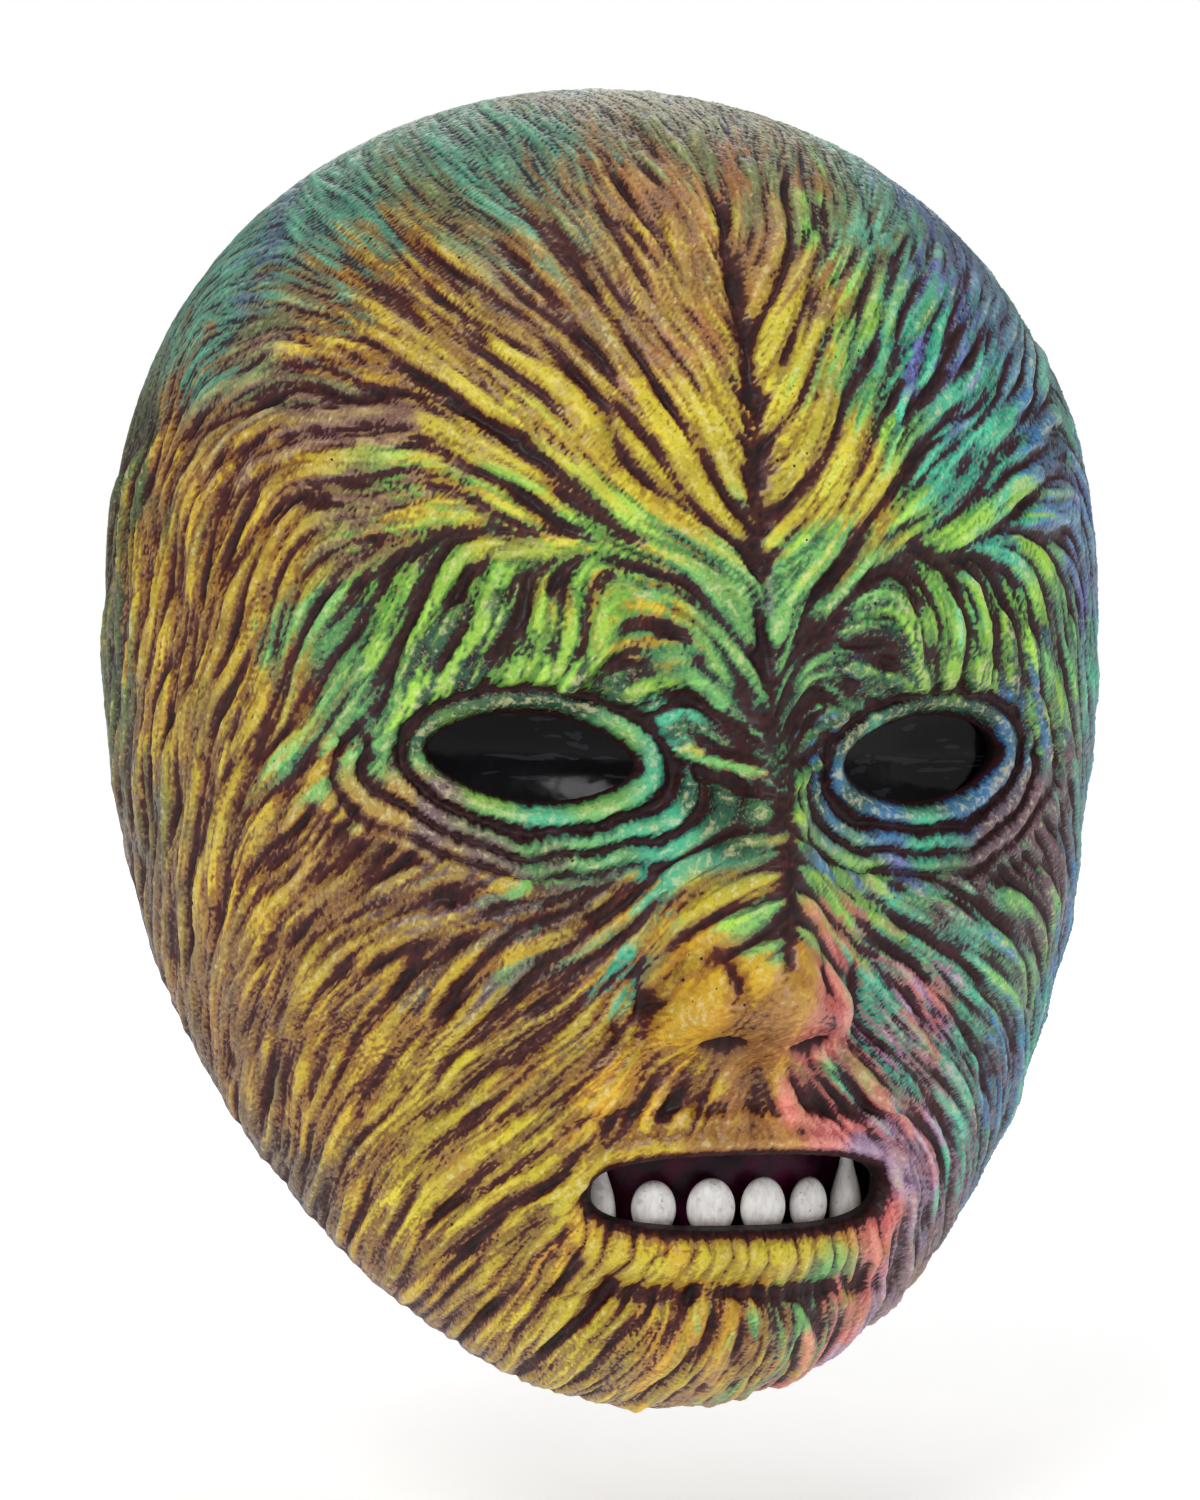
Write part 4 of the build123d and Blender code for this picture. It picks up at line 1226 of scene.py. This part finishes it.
def on_form(x, z, depth):
    """Points at a depth under the casting's outside, in mm."""
    rise = np.arcsin(z / HALF_HEIGHT)
    half = half_width(z)
    azimuth = np.sign(x) * np.arcsin((np.abs(x) / half) ** (SECTION_POWER / 2))
    nudge = 1e-3
    side = egg(azimuth + nudge, rise)[0] - egg(azimuth - nudge, rise)[0]
    up = egg(azimuth, rise + nudge)[0] - egg(azimuth, rise - nudge)[0]
    normal = np.cross(side, up)
    normal /= np.linalg.norm(normal, axis=-1, keepdims=True)
    return egg(azimuth, rise)[0] - depth[..., None] * normal


# Across a die-cut pad: share of the way out to its edge, and share of its thickness.
PAD_PROFILE = (
    (0.0, 1.0), (0.25, 0.998), (0.5, 0.985), (0.7, 0.96), (0.82, 0.93), (0.9, 0.89), (0.95, 0.83),
    (0.98, 0.74), (0.995, 0.62), (1.0, 0.45), (0.998, 0.2), (0.992, 0.0), (0.8, 0.0), (0.4, 0.0), (0.0, 0.0),
)
PAD_SIDES = 160
PAD_RINGS = 64
PAD_POWER = 4.5  # of the superellipse that rounds its corners
PAD_GLUED = 3.3  # depth of the glued face under the casting's outside, in mm


def ring_quads(rings, sides):
    """Quads between closed rings of points."""
    ring = np.arange(sides)
    following = (ring + 1) % sides
    faces = []
    for a in range(0, (rings - 1) * sides, sides):
        b = a + sides
        faces.append(np.stack([a + ring, a + following, b + following, b + ring], -1))
    return np.concatenate(faces)


def close_mesh(thing, merge_mm=0.0):
    """Merges points closer than merge_mm, fills small gaps and turns every face outwards."""
    shape = bmesh.new()
    shape.from_mesh(thing.data)
    if merge_mm:
        bmesh.ops.remove_doubles(shape, verts=shape.verts, dist=merge_mm * MM)
    open_edges = [edge for edge in shape.edges if len(edge.link_faces) < 2]
    if open_edges:
        bmesh.ops.holes_fill(shape, edges=open_edges, sides=8)
    bmesh.ops.recalc_face_normals(shape, faces=shape.faces)
    shape.to_mesh(thing.data)
    shape.free()


def finished(thing, node, finish):
    """Gives a piece its material and hides the CAD node that it takes the place of."""
    thing.data.materials.append(FINISH[finish])
    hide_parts(node)


def foam_pad(name, node, centre, half_wide, half_tall, thick):
    """A pad of sheet foam with rounded corners, a little crowned and dimpled, glued inside the casting."""
    rng = np.random.default_rng(SEED + len(name))
    at, share = np.array(PAD_PROFILE).T
    fine = np.linspace(0, len(at) - 1, PAD_RINGS)
    reach = np.interp(fine, np.arange(len(at)), at)
    share = np.interp(fine, np.arange(len(at)), share)[:, None]
    turn = np.linspace(0, 2 * np.pi, PAD_SIDES, endpoint=False)
    corner = (np.abs(np.cos(turn)) ** PAD_POWER + np.abs(np.sin(turn)) ** PAD_POWER) ** (-1 / PAD_POWER)
    x = centre[0] + half_wide * np.outer(reach, corner * np.cos(turn))
    z = centre[1] + half_tall * np.outer(reach, corner * np.sin(turn))
    waves = rng.uniform(0, 2 * np.pi, 3)
    dimple = 0.22 * np.sin(x / 7.0 + waves[0]) * np.sin(z / 6.0 + waves[1])
    dimple += 0.12 * np.sin(x / 2.3 + z / 2.9 + waves[2])
    depth = PAD_GLUED + thick * share * (1 + 0.03 * dimple) - 0.3 * (share > 0.5)
    points = on_form(x, z, depth).reshape(-1, 3)
    pad = mesh_object(name, points, [ring_quads(PAD_RINGS, PAD_SIDES)], "mask")
    close_mesh(pad, merge_mm=0.002)
    finished(pad, node, "foam")


# ---------------------------------------------------------------- the strap, in its own plane (mm)

PIVOT_Y = -9.0
PIVOT_Z = 22.0
DROOP = math.radians(14)
STRAP_WIDE = 20.0
STRAP_THICK = 1.2
STRAP_X = 93.9
BACK_Y = 88.0
RING_X = 22.0
RING_OUT_X = 32.0
RING_Y = 85.475
FOLD_R = 2.525
RETURN_Y = 82.95
RETURN_END_X = -15.0
SLIDER_X = -26.0
SLIDER_Y = 84.8
WRAP_R = 1.85
TEMPLE_BEND = 42.0
BACK_BEND = 30.0
RING_TAIL = 11.0  # the sewn tail beyond the fold at the ring, and the same at the slider
SLIDER_TAIL = 9.0
POST_HOLE_R = 2.4
BAND_STEP = 0.7  # distance along a band from one ring of points to the next
BAND_POINTS = 65  # points across one face of a band
TACK_ROWS = (5.5, 9.0)  # each bar tack's distance from the bar
TACK_STEPS = 34  # half zigzags in one
TACK_TALL = 14.6
THREAD_R = 0.19
THREAD_SIDES = 6


def hang(points):
    """Points drawn as (x, y in the strap's plane, across the band) to where the strap droops at rest."""
    x, y, z = np.asarray(points, float).T
    return np.stack([x, PIVOT_Y + y * math.cos(DROOP) + z * math.sin(DROOP),
                     PIVOT_Z - y * math.sin(DROOP) + z * math.cos(DROOP)], -1)


def arc(centre, radius, start, sweep, steps=18):
    angles = np.radians(np.linspace(start, start + sweep, steps))
    return [(centre[0] + radius * math.cos(a), centre[1] + radius * math.sin(a)) for a in angles]


def rounded_corner(before, corner, after, radius):
    """The arc that rounds a corner of the strap's line."""
    before, corner, after = (np.array(p, float) for p in (before, corner, after))
    back = (before - corner) / np.linalg.norm(before - corner)
    on = (after - corner) / np.linalg.norm(after - corner)
    half = math.acos(float(back @ on)) / 2
    centre = corner + (back + on) / np.linalg.norm(back + on) * radius / math.sin(half)
    first, last = corner + back * radius / math.tan(half), corner + on * radius / math.tan(half)
    start, end = (math.atan2(*(p - centre)[::-1]) for p in (first, last))
    sweep = (end - start + math.pi) % (2 * math.pi) - math.pi
    return arc(centre, radius, math.degrees(start), math.degrees(sweep), 30)


def side_path(side, end_x):
    """From the rivet along the temple, round the back of the head and across it to end_x."""
    start, bend = (side * STRAP_X, -8.0), (side * STRAP_X, 34.0)
    back, end = (side * 58.0, BACK_Y), (end_x, BACK_Y)
    temple = rounded_corner(start, bend, back, TEMPLE_BEND)
    return [start, *temple, *rounded_corner(bend, back, end, BACK_BEND), end]


def onward(path, degrees, length):
    """One more point of a path, straight on from its end."""
    x, y = path[-1]
    return [(x + length * math.cos(math.radians(degrees)), y + length * math.sin(math.radians(degrees)))]


def webbing(name, node, body, path):
    """A ribbed elastic band along a path in the strap's plane, with rolled edges."""
    path = np.array(path)
    gaps = np.linalg.norm(np.diff(path, axis=0), axis=1)
    path = path[np.concatenate([[True], gaps > 1e-6])]
    run = np.concatenate([[0.0], np.cumsum(np.linalg.norm(np.diff(path, axis=0), axis=1))])
    count = max(8, int(run[-1] / BAND_STEP))
    at = np.linspace(0, run[-1], count)
    line = np.stack([np.interp(at, run, path[:, k]) for k in (0, 1)], -1)
    ahead = np.gradient(line, axis=0)
    ahead /= np.linalg.norm(ahead, axis=1, keepdims=True)
    out = np.stack([-ahead[:, 1], ahead[:, 0]], -1)

    across = np.linspace(-1, 1, BAND_POINTS)
    ribs = 0.86 + 0.14 * np.sin(2 * np.pi * across * 8) ** 2
    half = STRAP_THICK / 2 * (1 - np.abs(across) ** 18) ** 0.5 * ribs
    place = np.concatenate([across, across[-2:0:-1]]) * STRAP_WIDE / 2
    side = np.concatenate([half, -half[-2:0:-1]])
    points = np.empty((count, len(place), 3))
    points[..., :2] = line[:, None] + out[:, None] * side[None, :, None]
    points[..., 2] = place * (1 + 0.006 * np.sin(at / 1.7)[:, None])
    caps = []
    for base in (0, (count - 1) * len(place)):
        for k in range(1, BAND_POINTS - 2):
            opposite = base + len(place) - k
            caps.append((base + k, base + k + 1, opposite - 1, opposite))
    faces = [ring_quads(count, len(place)), np.array(caps)]
    made = mesh_object(name, hang(points.reshape(-1, 3)), faces, body)
    set_field(made, "along", np.repeat(at, len(place)))
    set_field(made, "across", np.tile(place, count))
    close_mesh(made)
    finished(made, node, "elastic_webbing")
    return made


def cut_post_hole(thing, side):
    """The punched hole that turns on the rivet."""
    centre = Vector(hang([(side * STRAP_X, 0, 0)])[0]) * MM
    place = Matrix.Translation(centre) @ Matrix.Rotation(math.pi / 2, 4, "Y")
    radius = POST_HOLE_R * MM
    shape = bmesh.new()
    bmesh.ops.create_cone(
        shape, segments=48, radius1=radius, radius2=radius, depth=8 * MM, cap_ends=True, matrix=place
    )
    mesh = bpy.data.meshes.new(thing.name + "_punch")
    shape.to_mesh(mesh)
    shape.free()
    punch = bpy.data.objects.new(thing.name + "_punch", mesh)
    bpy.context.scene.collection.objects.link(punch)
    cut = thing.modifiers.new("post_hole", "BOOLEAN")
    cut.object, cut.operation, cut.solver = punch, "DIFFERENCE", "EXACT"
    bpy.context.view_layer.update()
    graph = bpy.context.evaluated_depsgraph_get()
    holed = bpy.data.meshes.new_from_object(thing.evaluated_get(graph))
    thing.modifiers.remove(cut)
    thing.data = holed
    bpy.data.objects.remove(punch)


def zigzag(bar_x, row_x, face_y, outwards):
    """One bar tack's thread, which dips into the band at each end of a stitch."""
    line = []
    step = TACK_TALL / TACK_STEPS
    for k in range(TACK_STEPS):
        way = 1 if k % 2 else -1
        for share in np.arange(5) / 5:
            lift = THREAD_R * (0.55 + 0.45 * math.sin(math.pi * share))
            x = bar_x + row_x + 0.6 * way * (2 * share - 1)
            line.append((x, face_y + outwards * lift, -TACK_TALL / 2 + step * (k + share)))
    return np.array(line)


def bar_tacks(name, node, body, bar_x, face_y, outwards):
    """Two zigzag bar tacks sewn across the band."""
    points, faces = [], []
    angles = 2 * np.pi * np.arange(THREAD_SIDES) / THREAD_SIDES
    for row_x in TACK_ROWS:
        line = zigzag(bar_x, row_x, face_y, outwards)
        ahead = np.gradient(line, axis=0)
        ahead /= np.linalg.norm(ahead, axis=1, keepdims=True)
        side = np.cross(ahead, (0.0, outwards, 0.0))
        side /= np.linalg.norm(side, axis=1, keepdims=True)
        out = np.cross(side, ahead)
        round_it = np.cos(angles)[:, None] * out[:, None] + np.sin(angles)[:, None] * side[:, None]
        faces.append(ring_quads(len(line), THREAD_SIDES) + len(points) * len(line) * THREAD_SIDES)
        points.append((line[:, None] + THREAD_R * round_it).reshape(-1, 3))
    made = mesh_object(name, hang(np.concatenate(points)), faces, body)
    close_mesh(made)
    finished(made, node, "thread")


def build_strap():
    """The elastic bands, their folds and their sewing."""
    turn = arc((RING_OUT_X, RING_Y), FOLD_R, 90, 198)
    short_path = side_path(1, RING_OUT_X) + turn + onward(turn, 18, RING_TAIL)
    long_path = side_path(-1, RING_X) + arc((RING_X, RING_Y), FOLD_R, 90, -180)
    cut_post_hole(webbing("short_band", "strap_short", "strap", short_path), 1)
    cut_post_hole(webbing("long_band", "strap_long", "strap", long_path), -1)
    back = webbing("return_band", "strap_return", "strap", [(RING_X, RETURN_Y), (RETURN_END_X, RETURN_Y)])
    # 26 mm of its 37 mm go when the slider is at the end of its travel
    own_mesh(back)
    wrap = arc((SLIDER_X, SLIDER_Y), WRAP_R, -90, -194)
    fold = [(RETURN_END_X, RETURN_Y), (SLIDER_X, RETURN_Y)] + wrap
    webbing("end_fold_band", "strap_end_fold", "slider", fold + onward(wrap, -14, SLIDER_TAIL))
    bar_tacks("ring_bar_tacks", "ring_stitches", "strap", RING_OUT_X, BACK_Y + STRAP_THICK / 2, 1)
    bar_tacks("slider_bar_tacks", "slider_stitches", "slider", SLIDER_X, RETURN_Y - STRAP_THICK / 2, -1)


# ---------------------------------------------------------------- finishes on the CAD pieces

FINISH = {
    make.__name__: make()
    for make in (
        mouth_lining, gum_rubber, tooth_resin, smoked_lens, gasket_rubber, foam, anchor_rubber, rivet_metal,
        washer_plastic, elastic_webbing, strap_plastic, thread,
    )
}
# The finish of each CAD piece that shows, by the start of its name.
CAD_FINISH = {
    "mouth_liner": "mouth_lining", "gum": "gum_rubber", "fang": "tooth_resin", "incisor": "tooth_resin",
    "eye_lens": "smoked_lens", "eye_gasket": "gasket_rubber", "anchor_patch": "anchor_rubber",
    "rivet_post": "rivet_metal", "rivet_cap": "rivet_metal", "rivet_washer": "washer_plastic",
    "strap_ring": "strap_plastic", "slider": "strap_plastic",
}


def finish_cad_pieces():
    for start, finish in CAD_FINISH.items():
        for node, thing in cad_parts.items():
            if node.startswith(start) and not node.endswith("stitches"):
                thing.data.materials.clear()
                thing.data.materials.append(FINISH[finish])


# ---------------------------------------------------------------- studio

CAMERA_AZIMUTH = -19.0  # degrees round from straight ahead, towards the wearer's right
CAMERA_ELEVATION = 3.0
CAMERA_ROLL = 1.2
CAMERA_DISTANCE = 1.15
FILLED = 1324 / 1500  # the share of the frame's height that the mask takes
SENSOR_WIDTH = 36.0
FLOOR_GAP = 0.03  # metres under the mask, which the wearer's head holds up
FLOOR_RADIUS = 9.0
ROOM_LIGHT = 0.36  # the world's strength as a light; the camera sees it at 1


def camera_axes():
    a, e = math.radians(CAMERA_AZIMUTH), math.radians(CAMERA_ELEVATION)
    back = Vector((math.sin(a) * math.cos(e), -math.cos(a) * math.cos(e), math.sin(e)))
    turn = (-back).to_track_quat("-Z", "Y").to_matrix()
    return back, turn @ Matrix.Rotation(math.radians(CAMERA_ROLL), 3, "Z")


def build_camera(skin):
    """Aims at the middle of the mask's outline and fills the frame with it as far as FILLED."""
    back, turn = camera_axes()
    points = np.array([v.co for v in skin.data.vertices])[::7]
    axes = np.array(turn)
    centre = np.array([0.0, -0.04, 0.0])
    for _ in range(6):
        eye = centre + np.array(back) * CAMERA_DISTANCE
        local = (points - eye) @ axes
        flat = local[:, :2] / -local[:, 2:]
        low, high = flat.min(0), flat.max(0)
        centre = centre + axes[:, :2] @ ((low + high) / 2 * CAMERA_DISTANCE)
    camera = bpy.data.cameras.new("camera")
    camera.sensor_width = SENSOR_WIDTH
    camera.lens = SENSOR_WIDTH * FILLED / float(high[1] - low[1])
    camera.clip_start, camera.clip_end = 0.05, 20
    thing = bpy.data.objects.new("camera", camera)
    thing.matrix_world = Matrix.Translation(Vector(centre) + back * CAMERA_DISTANCE) @ turn.to_4x4()
    bpy.context.scene.collection.objects.link(thing)
    bpy.context.scene.camera = thing


def build_floor():
    """A plain pale floor under the chin that brightens with distance until it is as white as the air."""
    mesh = bpy.data.meshes.new("floor")
    shape = bmesh.new()
    bmesh.ops.create_circle(shape, cap_ends=True, segments=96, radius=FLOOR_RADIUS)
    shape.to_mesh(mesh)
    shape.free()
    floor = bpy.data.objects.new("floor", mesh)
    floor.location.z = CAD_BOX[0].z - FLOOR_GAP
    bpy.context.scene.collection.objects.link(floor)
    paper = Surface("floor_paper")
    fibre = paper.noise(90.0, 3.0)
    paper.colour(paper.mix(paper.remap(fibre, 0.3, 0.7), grey(0.88), grey(0.91)))
    paper.rough(paper.remap(fibre, 0.2, 0.8, 0.85, 0.95))
    away = paper.node("ShaderNodeVectorMath", {0: paper.place}, operation="LENGTH").outputs["Value"]
    paper.shader.inputs["Emission Color"].default_value = (1, 1, 1, 1)
    paper.tree.links.new(paper.remap(away, 0.15, 1.2, 0.38, 0.70), paper.shader.inputs["Emission Strength"])
    mesh.materials.append(paper.material)


def area_light(name, place, aim, size, power):
    light = bpy.data.lights.new(name, "AREA")
    light.shape, light.size, light.energy = "DISK", size, power
    thing = bpy.data.objects.new(name, light)
    thing.location = place
    thing.rotation_mode = "QUATERNION"
    thing.rotation_quaternion = (Vector(aim) - Vector(place)).to_track_quat("-Z", "Y")
    bpy.context.scene.collection.objects.link(thing)


def build_lights():
    """Four soft lights in a room that the camera sees as white and that lights the mask more dimly."""
    area_light("key", (-0.9, -1.3, 1.0), (0, -0.05, 0.02), 0.7, 13)
    area_light("fill", (1.3, -1.1, 0.3), (0, -0.05, 0.0), 1.2, 3)
    area_light("top", (0.1, -0.2, 1.5), (0, 0, 0.05), 0.9, 5)
    area_light("rear", (0.4, 1.3, 0.8), (0, 0, 0), 1.0, 5)
    world = bpy.data.worlds.new("studio")
    world.use_nodes = True
    tree = world.node_tree
    tree.nodes["Background"].inputs["Color"].default_value = (1, 1, 1, 1)
    seen = tree.nodes.new("ShaderNodeLightPath").outputs["Is Camera Ray"]
    level = tree.nodes.new("ShaderNodeMapRange")
    level.inputs["To Min"].default_value = ROOM_LIGHT
    tree.links.new(seen, level.inputs["Value"])
    tree.links.new(level.outputs["Result"], tree.nodes["Background"].inputs["Strength"])
    bpy.context.scene.world = world


skin = build_skin()
foam_pad("brow_pad", "forehead_pad", (0.0, 81.0), 52.0, 15.0, 8.0)
foam_pad("cheek_cushion_right", "cheek_pad_right", (-57.0, -42.0), 13.0, 18.0, 7.0)
foam_pad("cheek_cushion_left", "cheek_pad_left", (57.0, -42.0), 13.0, 18.0, 7.0)
build_strap()
finish_cad_pieces()
build_floor()
build_lights()
build_camera(skin)
bpy.context.scene.view_settings.view_transform = "Standard"
